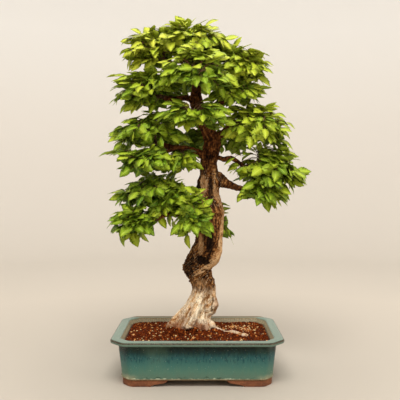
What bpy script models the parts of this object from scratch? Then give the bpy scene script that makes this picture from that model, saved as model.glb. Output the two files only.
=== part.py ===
"""Korean hornbeam bonsai in a glazed rectangular pot, at its real size, in metres, +Z up.

The pot stands on Z = 0 with its front towards -Y. Everything is designed about the middle of the pot,
and the last step moves the whole object so that the middle of its bounding box is over the origin.
"""

import math
import random

import bmesh
import bpy
from mathutils import Matrix, Vector
from mathutils.bvhtree import BVHTree

MM = 0.001

# Driving dimensions of the pot, in millimetres
POT_LENGTH = 380.0
POT_DEPTH = 275.0
POT_HEIGHT = 102.0
FOOT_HEIGHT = 14.0
LIP_THICKNESS = 9.5
LIP_OVERHANG = 17.0
LIP_WIDTH = 22.0
WALL_TAPER = 6.0
WALL_THICKNESS = 10.0
FLOOR_THICKNESS = 10.0
CORNER_CUT_X = 30.0
CORNER_CUT_Y = 34.0
CORNER_SOFTENING = 7.0
DRAIN_HOLE_RADIUS = 12.0
DRAIN_HOLE_X = 82.0
CORNER_CUT_SHARE = 0.45
SOFTENING_LIMIT = 0.4
INNER_KNEE_HEIGHT = 90.0
FLOOR_ROUND_WIDTH = 6.0
FLOOR_ROUND_HEIGHT = 7.0
DRAIN_HOLE_SIDES = 16
GAP = 0.35
THROUGH = 20.0

# Feet: the curved step between two feet, as (distance from the pot's middle, height)
FOOT_OUTER_INSET = 26.0
FOOT_INNER_INSET = 44.0
FOOT_EDGE_EASING = 1.5
FOOT_OVERLAP = 3.0
FOOT_STEP_FRONT = ((102.0, 0.0), (97.0, 3.2), (89.0, 5.6), (74.0, 7.6), (66.5, 10.4), (64.0, 14.0))
FOOT_STEP_SIDE_SHIFT = -42.0

# Drainage screens: a square of plastic net over each hole
SCREEN_SIDE = 34.0
SCREEN_THICKNESS = 1.4
SCREEN_OPENINGS = 2
SCREEN_OPENING = 9.0
SCREEN_PITCH = 13.0

# Soil
SOIL_LEVEL = 90.5
MOUND_HEIGHT = 14.0
MOUND_CENTRE = (-12.0, 14.0)
MOUND_SPREAD = (88.0, 62.0)
SOIL_CELL = 17.0
GRAIN_SCATTER = 0.28 * SOIL_CELL
GRAIN_RELIEF = 1.5
SOIL_TOP_LIMIT = 118.0
SOIL_BLOCK_BOTTOM = 10.0
STUMP_BOTTOM = 58.0
STUMP_CLEARANCE = 0.6

# Trunk stations: height, centre x, centre y, half width, half depth
TRUNK_STATIONS = (
    (STUMP_BOTTOM, -14, 15, 40, 33),
    (103, -15, 15, 42, 34),
    (113, -15, 15, 40, 33),
    (124, -13, 15, 38, 32),
    (140, -8, 15, 34, 30),
    (160, 4, 14, 30, 28),
    (178, 12, 13, 29, 27),
    (194, 15, 13, 28, 26),
    (212, 11, 12, 29, 26),
    (226, 2, 11, 32, 28),
    (240, -2, 10, 35, 29),
    (258, 7, 9, 39, 31),
    (272, 14, 8, 39, 31),
    (287, 19, 7, 36, 30),
    (302, 25, 6, 31, 28),
    (334, 28, 5, 31, 27),
    (354, 30, 5, 32, 28),
    (374, 30, 5, 33, 28),
    (392, 28, 7, 30, 26),
    (410, 26, 9, 25, 24),
    (428, 23, 10, 27, 26),
    (447, 24, 11, 25, 24),
    (462, 26, 12, 20, 20),
    (492, 27, 13, 18, 18),
    (510, 31, 14, 20, 19),
    (540, 35, 14, 21, 20),
    (562, 26, 13, 18, 18),
    (590, 10, 12, 17, 16),
    (622, 0, 10, 17, 16),
    (647, -3, 9, 12.5, 12),
    (676, 0, 8, 9.5, 9),
    (706, 4, 7, 7, 7),
    (734, 6, 6, 5, 5),
)
TRUNK_SIDES = 16
# Flutes round the trunk: how many, depth as a share of the radius, turn per millimetre, first turn
FLUTES = ((3, 0.045, 0.033, 0.0), (5, 0.0375, -0.044, 1.0))
FLARE_TOP = 185.0
FLARE_BOTTOM = 103.0
FLARE_CURVE = 2.2
# Roots that spread at the soil: direction in degrees, reach beyond the trunk, width in degrees
ROOT_LOBES = (
    (178, 19, 17), (228, 10, 14), (272, 5, 12), (308, 11, 13), (352, 18, 15), (58, 14, 18), (122, 15, 18),
)

# Ridges and knobs fused to the trunk: path points, then the radius at each
LIVE_VEIN = (
    (-20, -8, 212, 4), (-10, -16, 224, 8), (8, -20, 238, 9), (27, -19, 249, 9.5), (43, -12, 264, 9.5),
    (50, -4, 285, 9.5), (51, -1, 312, 9), (53, 0, 340, 9), (54, 1, 368, 9), (49, 0, 392, 8.5),
    (41, -4, 414, 7), (33, -6, 438, 5),
)
RIGHT_RIDGE = (
    (30, 4, 198, 7), (33, 2, 178, 11), (35, 1, 158, 16), (31, 2, 143, 14), (24, 2, 130, 6),
)
FRONT_ROOT = (
    (10, -12, 196, 5), (4, -17, 170, 8), (-6, -20, 145, 10), (-16, -24, 122, 12), (-24, -24, 108, 12),
)
SURFACE_ROOT = (
    (26, 8, 112, 9), (42, 4, 104.5, 8), (58, -3, 99.5, 6.2), (78, -13, 95.5, 5.2), (98, -23, 93.4, 5.0),
    (116, -33, 92.4, 4.6),
)
# Knobs: centre, then half sizes
KNOBS = (
    ((0, 4, 424), (10, 13, 15)),
    ((47, 4, 448), (14, 15, 15)),
)
# Hollow worn into the trunk's front
HOLLOW = (
    (6, -29, 263, 5), (11, -26, 262, 13), (19, -28, 270, 12), (27, -28, 290, 7), (29, -27, 322, 6),
    (30, -28, 350, 4),
)
RIDGE_SIDES = 8

# Branches that belong to the trunk: name, first and last radius, points
BRANCHES = (
    ("low_left", 12.0, 7.5, ((22, 4, 362), (-6, -4, 369), (-34, -10, 369), (-62, -15, 374))),
    ("low_left_up", 6.5, 4.4, ((-54, -13, 371), (-72, -6, 388), (-88, 2, 402))),
    ("low_left_down", 6.5, 4.2, ((-54, -13, 371), (-74, -28, 368), (-92, -42, 360))),
    ("low_front", 5.5, 3.6, ((-20, -6, 369), (-18, -26, 378), (-12, -46, 386))),
    ("low_back", 5.0, 3.0, ((30, 22, 352), (42, 42, 352), (54, 56, 350))),
    ("mid_left", 9.5, 6.0, ((26, 12, 500), (4, 6, 512), (-28, 2, 521), (-58, -2, 523), (-82, -4, 530))),
    ("mid_left_low", 5.0, 3.4, ((-52, -2, 522), (-72, -20, 512), (-88, -34, 502))),
    ("mid_right", 10.5, 6.0, ((34, 14, 540), (56, 10, 556), (76, 6, 570), (92, 2, 578))),
    ("right_arm", 6.5, 4.4, (
        (30, 12, 496), (48, 8, 501), (62, 4, 496), (78, 2, 500), (98, 0, 487), (120, -4, 474),
    )),
    ("low_right", 9.0, 4.8, ((30, 8, 446), (54, 4, 448), (72, 0, 438), (92, -4, 430), (108, -8, 428))),
    ("mid_front", 6.0, 3.4, ((32, 8, 548), (26, -14, 562), (16, -38, 572))),
    ("mid_back", 8.0, 5.0, ((32, 18, 520), (32, 44, 532), (28, 66, 542))),
    ("upper_left", 8.0, 5.2, ((0, 10, 628), (-24, 6, 640), (-54, 2, 636), (-80, 0, 640))),
    ("upper_right", 7.5, 4.6, ((4, 10, 604), (24, 6, 622), (46, 2, 622), (68, 0, 634))),
    ("crown_front", 6.0, 3.6, ((-2, 8, 640), (-4, -18, 656), (-6, -42, 662))),
    ("crown_back", 6.0, 4.0, ((-2, 10, 640), (-4, 38, 660), (-2, 60, 674))),
    ("crown_left", 6.0, 3.8, ((-1, 8, 668), (-26, 4, 694), (-52, 0, 712), (-66, 0, 722))),
    ("crown_right", 6.0, 3.8, ((0, 8, 676), (26, 4, 696), (52, 0, 706), (66, 0, 712))),
)
BRANCH_SIDES = 6
BRANCH_STEPS = 2

# Foliage pads: name, branch that carries it, centre, half sizes, droop of the outer edge, leafy shoots
PADS = (
    ("crown_top", "leader", (-10, 0, 770), (108, 92, 56), 14, 8),
    ("crown_left", "crown_left", (-108, 4, 748), (84, 84, 52), 24, 7),
    ("crown_right", "crown_right", (106, 4, 728), (76, 80, 48), 24, 7),
    ("crown_front", "crown_front", (-4, -94, 694), (92, 62, 50), 20, 5),
    ("crown_back", "crown_back", (0, 102, 708), (96, 66, 54), 22, 5),
    ("upper_left", "upper_left", (-120, -4, 658), (82, 78, 40), 22, 6),
    ("upper_right", "upper_right", (108, 0, 654), (64, 78, 38), 20, 5),
    ("mid_left", "mid_left", (-122, 12, 566), (94, 86, 46), 26, 7),
    ("mid_left_low", "mid_left_low", (-148, -46, 502), (90, 56, 34), 20, 5),
    ("mid_right", "mid_right", (146, 4, 578), (84, 86, 50), 28, 7),
    ("right_arm", "right_arm", (182, -6, 492), (76, 72, 42), 28, 5),
    ("low_right", "low_right", (142, -20, 436), (78, 68, 42), 24, 5),
    ("mid_front", "mid_front", (0, -84, 592), (70, 54, 36), 18, 4),
    ("mid_back", "mid_back", (18, 116, 560), (88, 60, 46), 22, 5),
    ("low_left", "low_left_up", (-114, 4, 426), (92, 78, 44), 24, 6),
    ("lowest_left", "low_left_down", (-138, -58, 354), (76, 58, 38), 24, 5),
    ("low_front", "low_front", (-4, -78, 384), (56, 42, 42), 30, 4),
    ("low_back", "low_back", (68, 86, 350), (42, 46, 36), 18, 2),
)
# Where the shoots of a pad end: each a golden turn on from the last, at well spread heights of the dome
GOLDEN_TURN = math.tau * 0.381966
HEIGHT_START = 0.12
HEIGHT_STEP = 0.56984
LOWEST_SHARE = -0.12
HIGHEST_SHARE = 0.97
PAD_MARGIN = 14.0

# The twig that carries a pad's shoots: how it runs on from its branch
STEM_DROP = 0.3
STEM_KNEE = 0.35
STEM_BEYOND = 0.3
STEM_RADIUS_SHARES = (0.92, 0.8)
TWIG_RADII = (2.8, 2.0)
STEM_SIDES = 5
HOOK_STEPS = (0.0, 0.17, 0.33, 0.5, 0.67, 0.83)
FIRST_HOOK = 3

# Leaves: one shoot is a single thin arched blade whose outline is cut to the rib between its leaves
LEAF_LENGTH = 40.0
LEAF_LENGTH_SPREAD = 5.0
LEAF_WIDTH_SHARE = 0.58
LEAF_WIDEST = 0.38
LEAF_FOLD = 0.16
LEAF_DROOP = 0.14
LEAF_THICKNESS = 0.8
LEAVES_ON_SHOOT = 5
FEWEST_LEAVES = 2
LEAF_PITCH = 12.0
LEAF_ANGLE = math.radians(54)
LEAF_ANGLE_SPREAD = 0.15
LEAF_NOD = 0.3
LEAF_ROLL = 0.25
END_LEAF_TURN = 0.2
STALK_WIDTH = 3.0
RIB_WIDTH = 2.4
RIB_THICKNESS = 1.8
SHOOT_BEND = 0.5
SHOOT_TILT = 0.35
SAG_AT_EDGE = 0.42

# The search for room for a shoot
CANDIDATES_PER_SHOOT = 10
TRIES = 9
TURN_STEP = 0.16
LIFT_STEP = 1.2
ROOM = 0.7
SUNK_ROOT = 8.0
BEST_REACH = 62.0
TURN_COST = 70.0
SPRAY_SEED = 41
UP = Vector((0, 0, 1))


def vector(point):
    """A point in millimetres as a vector in metres."""
    return Vector(point) * MM


def clear_scene():
    for thing in list(bpy.data.objects):
        bpy.data.objects.remove(thing)


def material(name, colour, roughness):
    made = bpy.data.materials.new(name)
    made.use_nodes = True
    shader = made.node_tree.nodes["Principled BSDF"]
    shader.inputs["Base Color"].default_value = (*colour, 1.0)
    shader.inputs["Roughness"].default_value = roughness
    shader.inputs["Metallic"].default_value = 0.0
    made.diffuse_color = (*colour, 1.0)
    return made


def object_of(name, mesh_builder, finish=None):
    """Turns a bmesh into a linked object and frees the bmesh."""
    bmesh.ops.recalc_face_normals(mesh_builder, faces=mesh_builder.faces)
    mesh = bpy.data.meshes.new(name)
    mesh_builder.to_mesh(mesh)
    mesh_builder.free()
    made = bpy.data.objects.new(name, mesh)
    bpy.context.scene.collection.objects.link(made)
    if finish:
        mesh.materials.append(finish)
    return made


def loft(rings, closed_ends=True):
    """A skin through rings of equally many points, with its two ends capped."""
    builder = bmesh.new()
    rows = [[builder.verts.new(point) for point in ring] for ring in rings]
    count = len(rows[0])
    for lower, upper in zip(rows, rows[1:]):
        for i in range(count):
            j = (i + 1) % count
            builder.faces.new((lower[i], lower[j], upper[j], upper[i]))
    if closed_ends:
        builder.faces.new(tuple(reversed(rows[0])))
        builder.faces.new(tuple(rows[-1]))
    bmesh.ops.triangulate(builder, faces=[f for f in builder.faces if len(f.verts) > 4])
    return builder


def tube_rings(points, radii, sides):
    """Rings square to a path, turned as little as possible from one to the next."""
    side = None
    rings = []
    for i, point in enumerate(points):
        ahead = points[min(i + 1, len(points) - 1)] - points[max(i - 1, 0)]
        ahead.normalize()
        if side is None:
            side = ahead.orthogonal().normalized()
        side = (side - ahead * side.dot(ahead)).normalized()
        up = ahead.cross(side)
        turns = [k * math.tau / sides for k in range(sides)]
        rings.append([point + (side * math.cos(t) + up * math.sin(t)) * radii[i] for t in turns])
    return rings


def smooth_path(points, steps):
    """Points along a Catmull-Rom curve through the given ones. A radius after x, y and z is carried along."""
    padded = [points[0], *points, points[-1]]
    made = []
    for a, b, c, d in zip(padded, padded[1:], padded[2:], padded[3:]):
        for step in range(steps):
            made.append([curve_value(*four, step / steps) for four in zip(a, b, c, d)])
    made.append(list(points[-1]))
    return made


def curve_value(p, q, r, s, t):
    """One coordinate of a Catmull-Rom curve, at the share t of the way from q to r."""
    square = 2 * p - 5 * q + 4 * r - s
    cube = 3 * q - p - 3 * r + s
    return 0.5 * (2 * q + (r - p) * t + square * t ** 2 + cube * t ** 3)


def keep_largest_body(mesh_object):
    """Drops loose scraps and sealed inner skins that a Boolean may leave."""
    builder = bmesh.new()
    builder.from_mesh(mesh_object.data)
    builder.faces.ensure_lookup_table()
    seen = set()
    bodies = []
    for face in builder.faces:
        if face in seen:
            continue
        body = []
        waiting = [face]
        seen.add(face)
        while waiting:
            here = waiting.pop()
            body.append(here)
            for edge in here.edges:
                for other in edge.link_faces if len(edge.link_faces) == 2 else ():
                    if other not in seen:
                        seen.add(other)
                        waiting.append(other)
        bodies.append(body)
    largest = max(bodies, key=len)
    doomed = [face for body in bodies if body is not largest for face in body]
    if doomed:
        bmesh.ops.delete(builder, geom=doomed, context="FACES")
    builder.to_mesh(mesh_object.data)
    builder.free()


def apply_boolean(base, others, operation, solver="EXACT"):
    """Applies one Boolean with a collection of objects to the base, and removes those objects."""
    group = bpy.data.collections.new(base.name + "_" + operation.lower())
    for other in others:
        bpy.context.scene.collection.objects.unlink(other)
        group.objects.link(other)
    bpy.context.scene.collection.children.link(group)
    change = base.modifiers.new("boolean", "BOOLEAN")
    change.operation = operation
    change.operand_type = "COLLECTION"
    change.collection = group
    change.solver = solver
    graph = bpy.context.evaluated_depsgraph_get()
    result = bpy.data.meshes.new_from_object(base.evaluated_get(graph))
    base.modifiers.clear()
    base.data = result
    for other in others:
        bpy.data.objects.remove(other)
    bpy.data.collections.remove(group)
    return base


def cut_outline(half_x, half_y, cut_x, cut_y):
    """Rectangle with cut corners whose eight angles are softened, in millimetres round the middle."""
    corners = []
    for sx, sy in ((1, 1), (-1, 1), (-1, -1), (1, -1)):
        pair = [(sx * half_x, sy * (half_y - cut_y)), (sx * (half_x - cut_x), sy * half_y)]
        corners += pair if sx * sy > 0 else pair[::-1]
    points = []
    for before, here, after in zip(corners[-1:] + corners[:-1], corners, corners[1:] + corners[:1]):
        for other in (before, after):
            way = Vector(other) - Vector(here)
            reach = min(CORNER_SOFTENING, way.length * SOFTENING_LIMIT)
            points.append(Vector(here) + way.normalized() * reach)
    return points


def pot_ring(inset, height):
    """One ring of the pot at a distance in from the lip's outer edge."""
    half_x = POT_LENGTH / 2 - inset
    half_y = POT_DEPTH / 2 - inset
    shrink = inset * CORNER_CUT_SHARE
    points = cut_outline(half_x, half_y, CORNER_CUT_X - shrink, CORNER_CUT_Y - shrink)
    return [vector((p.x, p.y, height)) for p in points]


def inner_wall_inset(height):
    """How far in the pot's inner wall stands at a height."""
    top = LIP_OVERHANG + WALL_THICKNESS
    share = (POT_HEIGHT - height) / (POT_HEIGHT - FOOT_HEIGHT)
    return top + WALL_TAPER * share


def pot_profile():
    """Inset and height of each ring, from the underside up, over the lip and down the inside."""
    top = POT_HEIGHT
    under_lip = POT_HEIGHT - LIP_THICKNESS
    wall = LIP_OVERHANG
    foot = LIP_OVERHANG + WALL_TAPER
    floor = FOOT_HEIGHT + FLOOR_THICKNESS
    return (
        (foot + 7, FOOT_HEIGHT),
        (foot + 2, FOOT_HEIGHT + 0.6),
        (foot - 0.4, FOOT_HEIGHT + 3.5),
        (foot + 0.5, FOOT_HEIGHT + 9),
        (wall + 2.2, FOOT_HEIGHT + 48),
        (wall, under_lip - 9),
        (wall - 2.5, under_lip - 3),
        (wall - 7, under_lip),
        (1.8, under_lip + 0.4),
        (0, under_lip + 2.6),
        (0, top - 2.8),
        (2, top - 0.4),
        (LIP_WIDTH - 2.4, top),
        (LIP_WIDTH, top - 1.4),
        (inner_wall_inset(INNER_KNEE_HEIGHT), INNER_KNEE_HEIGHT),
        (inner_wall_inset(floor + FLOOR_ROUND_HEIGHT), floor + FLOOR_ROUND_HEIGHT),
        (inner_wall_inset(floor) + FLOOR_ROUND_WIDTH, floor),
    )


def foot_cutter(name, shift, along_x):
    """A bar with the step between two feet as its section. It runs right through under the pot."""
    half = [(x + shift, z) for x, z in FOOT_STEP_FRONT]
    section = [(half[0][0], -THROUGH), *half, (half[-1][0], FOOT_HEIGHT + THROUGH)]
    section += [(-x, z) for x, z in reversed(section)]
    rings = []
    for end in (-POT_LENGTH, POT_LENGTH):
        rings.append([vector((end, x, z) if along_x else (x, end, z)) for x, z in section])
    return object_of(name, loft(rings))


def drain_cutter(name, x):
    angles = [math.tau * k / DRAIN_HOLE_SIDES for k in range(DRAIN_HOLE_SIDES)]
    outline = [(x + DRAIN_HOLE_RADIUS * math.cos(a), DRAIN_HOLE_RADIUS * math.sin(a)) for a in angles]
    heights = (FOOT_HEIGHT - THROUGH, FOOT_HEIGHT + FLOOR_THICKNESS + THROUGH)
    return object_of(name, loft([[vector((*p, height)) for p in outline] for height in heights]))


def build_feet():
    """Four bracket feet: a skirt under the pot's edge, cut away between the corners."""
    top = FOOT_HEIGHT + FOOT_OVERLAP
    outer = [
        pot_ring(FOOT_OUTER_INSET + FOOT_EDGE_EASING, 0),
        pot_ring(FOOT_OUTER_INSET, FOOT_EDGE_EASING),
        pot_ring(FOOT_OUTER_INSET, top),
    ]
    inner = [pot_ring(FOOT_INNER_INSET, top), pot_ring(FOOT_INNER_INSET, 0)]
    skirt = loft([*outer, *inner, outer[0]], closed_ends=False)
    bmesh.ops.remove_doubles(skirt, verts=skirt.verts, dist=1e-6)
    feet = object_of("feet", skirt)
    steps = [foot_cutter("front_step", 0, False), foot_cutter("side_step", FOOT_STEP_SIDE_SHIFT, True)]
    return apply_boolean(feet, steps, "DIFFERENCE")


def build_pot(glaze):
    """Pot with a flat lip, sloping walls, two drain holes and bracket feet: one piece of fired clay."""
    pot = object_of("pot", loft([pot_ring(inset, height) for inset, height in pot_profile()]), glaze)
    holes = [drain_cutter("drain_hole", x) for x in (-DRAIN_HOLE_X, DRAIN_HOLE_X)]
    apply_boolean(pot, holes, "DIFFERENCE")
    return apply_boolean(pot, [build_feet()], "UNION")


def block(name, centre, side, low, high, finish=None):
    """An upright block on a square."""
    half = side / 2
    corners = ((half, half), (-half, half), (-half, -half), (half, -half))
    rings = [[vector((centre[0] + x, centre[1] + y, z)) for x, y in corners] for z in (low, high)]
    return object_of(name, loft(rings), finish)


def build_screen(name, x, net):
    """Plastic net laid on the pot's floor over a drain hole."""
    low = FOOT_HEIGHT + FLOOR_THICKNESS + GAP
    high = low + SCREEN_THICKNESS
    plate = block(name, (x, 0), SCREEN_SIDE, low, high, net)
    places = [(k - (SCREEN_OPENINGS - 1) / 2) * SCREEN_PITCH for k in range(SCREEN_OPENINGS)]
    cutters = []
    for dx in places:
        for dy in places:
            cutters.append(block("opening", (x + dx, dy), SCREEN_OPENING, low - THROUGH, high + THROUGH))
    return apply_boolean(plate, cutters, "DIFFERENCE")


def soil_height(x, y):
    """Height of the soil, without its grains: low at the pot's walls and mounded at the tree."""
    dx = (x - MOUND_CENTRE[0]) / MOUND_SPREAD[0]
    dy = (y - MOUND_CENTRE[1]) / MOUND_SPREAD[1]
    return SOIL_LEVEL + MOUND_HEIGHT * math.exp(-(dx * dx + dy * dy))


def soil_surface():
    """The mounded top of the soil, with its coarse grains as relief, over the pot's whole outline."""
    draw = random.Random(SPRAY_SEED)
    columns = int(POT_LENGTH / SOIL_CELL)
    rows = int(POT_DEPTH / SOIL_CELL)
    builder = bmesh.new()
    grid = []
    for i in range(columns + 1):
        line = []
        for j in range(rows + 1):
            x = POT_LENGTH * (i / columns - 0.5)
            y = POT_DEPTH * (j / rows - 0.5)
            if 0 < i < columns and 0 < j < rows:
                x += draw.uniform(-1, 1) * GRAIN_SCATTER
                y += draw.uniform(-1, 1) * GRAIN_SCATTER
            height = soil_height(x, y) + draw.uniform(-1, 1) * GRAIN_RELIEF
            line.append(builder.verts.new(vector((x, y, height))))
        grid.append(line)
    for i in range(columns):
        for j in range(rows):
            builder.faces.new((grid[i][j], grid[i + 1][j], grid[i + 1][j + 1], grid[i][j + 1]))
    bmesh.ops.triangulate(builder, faces=builder.faces)
    return builder


def soil_surface_block():
    """Block whose top is the soil's surface."""
    builder = soil_surface()
    edge = [e for e in builder.edges if e.is_boundary]
    walls = bmesh.ops.extrude_edge_only(builder, edges=edge)
    for part in walls["geom"]:
        if isinstance(part, bmesh.types.BMVert):
            part.co.z = SOIL_BLOCK_BOTTOM * MM
    bottom = [e for e in walls["geom"] if isinstance(e, bmesh.types.BMEdge) and e.is_boundary]
    bmesh.ops.edgeloop_fill(builder, edges=bottom)
    bmesh.ops.triangulate(builder, faces=[f for f in builder.faces if len(f.verts) > 3])
    return object_of("soil_surface", builder)


def stump_hole():
    """Plain hole in the soil for the tree's foot."""
    outline = trunk_outline(FLARE_BOTTOM, STUMP_CLEARANCE)
    heights = (STUMP_BOTTOM - GAP, SOIL_TOP_LIMIT + THROUGH)
    return object_of("stump_hole", loft([[vector((p.x, p.y, z)) for p in outline] for z in heights]))


def build_soil(earth):
    """Soil that fills the pot, with room for the tree's foot, its surface root and the screens."""
    floor = FOOT_HEIGHT + FLOOR_THICKNESS
    fill = (
        (inner_wall_inset(floor) + FLOOR_ROUND_WIDTH, floor + GAP),
        (inner_wall_inset(floor + FLOOR_ROUND_HEIGHT), floor + FLOOR_ROUND_HEIGHT + GAP),
        (inner_wall_inset(INNER_KNEE_HEIGHT), INNER_KNEE_HEIGHT),
        (inner_wall_inset(SOIL_TOP_LIMIT), SOIL_TOP_LIMIT),
    )
    soil = object_of("soil", loft([pot_ring(inset + GAP, height) for inset, height in fill]), earth)
    apply_boolean(soil, [soil_surface_block()], "INTERSECT")
    cutters = [stump_hole(), surface_root("root_bed", STUMP_CLEARANCE)]
    bed_top = floor + SCREEN_THICKNESS + 2 * GAP
    for x in (-DRAIN_HOLE_X, DRAIN_HOLE_X):
        cutters.append(block("screen_bed", (x, 0), SCREEN_SIDE + 2 * GAP, floor - THROUGH, bed_top))
    apply_boolean(soil, cutters, "DIFFERENCE")
    keep_largest_body(soil)
    return soil


def station_at(height):
    """Centre and half sizes of the trunk at a height, between its stations."""
    for low, high in zip(TRUNK_STATIONS, TRUNK_STATIONS[1:]):
        if height <= high[0]:
            t = (height - low[0]) / (high[0] - low[0])
            return [a + (b - a) * t for a, b in zip(low[1:], high[1:])]
    return list(TRUNK_STATIONS[-1][1:])


def trunk_outline(height, clearance=0.0):
    """Points round the trunk at a height, in millimetres: an ellipse with flutes and spreading roots."""
    cx, cy, rx, ry = station_at(height)
    rise = (FLARE_TOP - height) / (FLARE_TOP - FLARE_BOTTOM)
    flare = max(0.0, min(1.0, rise)) ** FLARE_CURVE
    points = []
    for k in range(TRUNK_SIDES):
        angle = math.tau * k / TRUNK_SIDES
        scale = 1.0
        for count, depth, turn, first in FLUTES:
            scale += depth * math.cos(count * angle + height * turn + first) * (1 - flare / 2)
        reach = clearance
        for direction, lobe, width in ROOT_LOBES:
            away = (math.degrees(angle) - direction + 180) % 360 - 180
            reach += lobe * flare * math.exp(-((away / width) ** 2))
        x = cx + (rx * scale + reach) * math.cos(angle)
        y = cy + (ry * scale + reach) * math.sin(angle)
        points.append(Vector((x, y, height)))
    return points


def ridge(name, stations, sides, steps=1, growth=0.0):
    """A round ridge, root or branch through (x, y, z, radius) stations."""
    along = smooth_path(stations, steps) if steps > 1 else stations
    points = [vector(s[:3]) for s in along]
    radii = [(s[3] + growth) * MM for s in along]
    return object_of(name, loft(tube_rings(points, radii, sides)))


def surface_root(name, growth=0.0):
    """The root that runs out over the soil to the right. Growth makes the bed that it lies in."""
    stations = list(SURFACE_ROOT)
    if growth:
        last = Vector(stations[-1][:3])
        ahead = (last - Vector(stations[-2][:3])).normalized() * growth
        stations[-1] = (*(last + ahead), stations[-1][3])
    return ridge(name, stations, RIDGE_SIDES, growth=growth)


def knob(name, centre, halves):
    builder = bmesh.new()
    bmesh.ops.create_icosphere(builder, subdivisions=1, radius=1.0)
    bmesh.ops.scale(builder, verts=builder.verts, vec=vector(halves))
    bmesh.ops.translate(builder, verts=builder.verts, vec=vector(centre))
    return object_of(name, builder)


def branch_stations(row):
    """A branch's points with a radius that falls evenly from its first to its last."""
    _, first, last, points = row
    lengths = [0.0]
    for a, b in zip(points, points[1:]):
        lengths.append(lengths[-1] + (Vector(b) - Vector(a)).length)
    return [(*p, first + (last - first) * s / lengths[-1]) for p, s in zip(points, lengths)]


def build_trunk(bark):
    """Trunk, foot, main branches, ridges and surface root: the tree's wood, grown as one piece."""
    rings = []
    for station in TRUNK_STATIONS:
        height = station[0]
        outline = trunk_outline(max(height, FLARE_BOTTOM))
        rings.append([vector((p.x, p.y, height)) for p in outline])
    trunk = object_of("trunk", loft(rings), bark)
    apply_boolean(trunk, [ridge("hollow", HOLLOW, RIDGE_SIDES)], "DIFFERENCE")
    grown = [ridge("ridge", stations, RIDGE_SIDES) for stations in (LIVE_VEIN, RIGHT_RIDGE, FRONT_ROOT)]
    grown.append(surface_root("surface_root"))
    grown += [knob("knob", centre, halves) for centre, halves in KNOBS]
    for row in BRANCHES:
        grown.append(ridge("branch", branch_stations(row), BRANCH_SIDES, steps=BRANCH_STEPS))
    apply_boolean(trunk, grown, "UNION")
    keep_largest_body(trunk)
    return trunk


def spray_root(carrier):
    """Where a spray takes over from its branch: the branch's end, its direction there and its radius."""
    if carrier == "leader":
        low, high = TRUNK_STATIONS[-2:]
        start = Vector((low[1], low[2], low[0]))
        end = Vector((high[1], high[2], high[0]))
        return end, (end - start).normalized(), high[3]
    row = next(r for r in BRANCHES if r[0] == carrier)
    along = smooth_path(branch_stations(row), BRANCH_STEPS)
    end = Vector(along[-1][:3])
    return end, (end - Vector(along[-2][:3])).normalized(), row[2]


def spray_stem(pad):
    """Centre line and radii of the twig that runs on from the branch through the pad, in millimetres."""
    _, carrier, centre, halves, _, _ = pad
    root, heading, radius = spray_root(carrier)
    start = root + heading * GAP
    middle = Vector(centre) - UP * halves[2] * STEM_DROP
    run = middle - start
    knee = start + heading * run.length * STEM_KNEE
    beyond = middle + Vector((run.x, run.y, 0)).normalized() * min(halves[:2]) * STEM_BEYOND
    radii = [radius * share for share in STEM_RADIUS_SHARES]
    return [start, knee, middle, beyond], [*radii, *TWIG_RADII]


def pad_tip(pad, number):
    """Where the end leaf of a pad's numbered shoot points to, the way out there, and how much it sags.

    The tips lie evenly over a flattened dome with a drooping edge. The first points away from the trunk.
    """
    _, carrier, centre, halves, droop, _ = pad
    root = spray_root(carrier)[0]
    away = math.atan2(centre[1] - root.y, centre[0] - root.x) if carrier != "leader" else 0.0
    turn = away + number * GOLDEN_TURN
    share = (HEIGHT_START + number * HEIGHT_STEP) % 1.0
    high = LOWEST_SHARE + (HIGHEST_SHARE - LOWEST_SHARE) * share
    flat = math.sqrt(1 - high * high)
    outward = Vector((math.cos(turn), math.sin(turn), 0))
    reach = Vector((halves[0] * flat * outward.x, halves[1] * flat * outward.y, 0))
    tip = Vector(centre) + reach + UP * (halves[2] * high - droop * flat * flat)
    return tip, outward, SAG_AT_EDGE * (1 - high)


def leaves_pad(pad, places):
    """Whether any of the places lies beyond the pad's dome or its edge."""
    _, _, centre, halves, droop, _ = pad
    for place in places:
        x = (place.x - centre[0]) / (halves[0] + PAD_MARGIN)
        y = (place.y - centre[1]) / (halves[1] + PAD_MARGIN)
        flat = x * x + y * y
        if flat > 1:
            return True
        if place.z > centre[2] + PAD_MARGIN + halves[2] * math.sqrt(1 - flat) - droop * flat:
            return True
    return False


def shoot_frame(shoot, along):
    """Place, heading, side and upward normal at a distance along an arching shoot."""
    start, bend, end, facing = shoot
    t = along / (end - start).length
    first = start.lerp(bend, t)
    second = bend.lerp(end, t)
    heading = (second - first).normalized()
    side = facing.cross(heading).normalized()
    return first.lerp(second, t), heading, side, heading.cross(side)


def shoot_leaves(reach):
    """How many leaves fit on a shoot of this length."""
    return min(LEAVES_ON_SHOOT, 1 + int((reach - SUNK_ROOT) / LEAF_PITCH))


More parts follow.
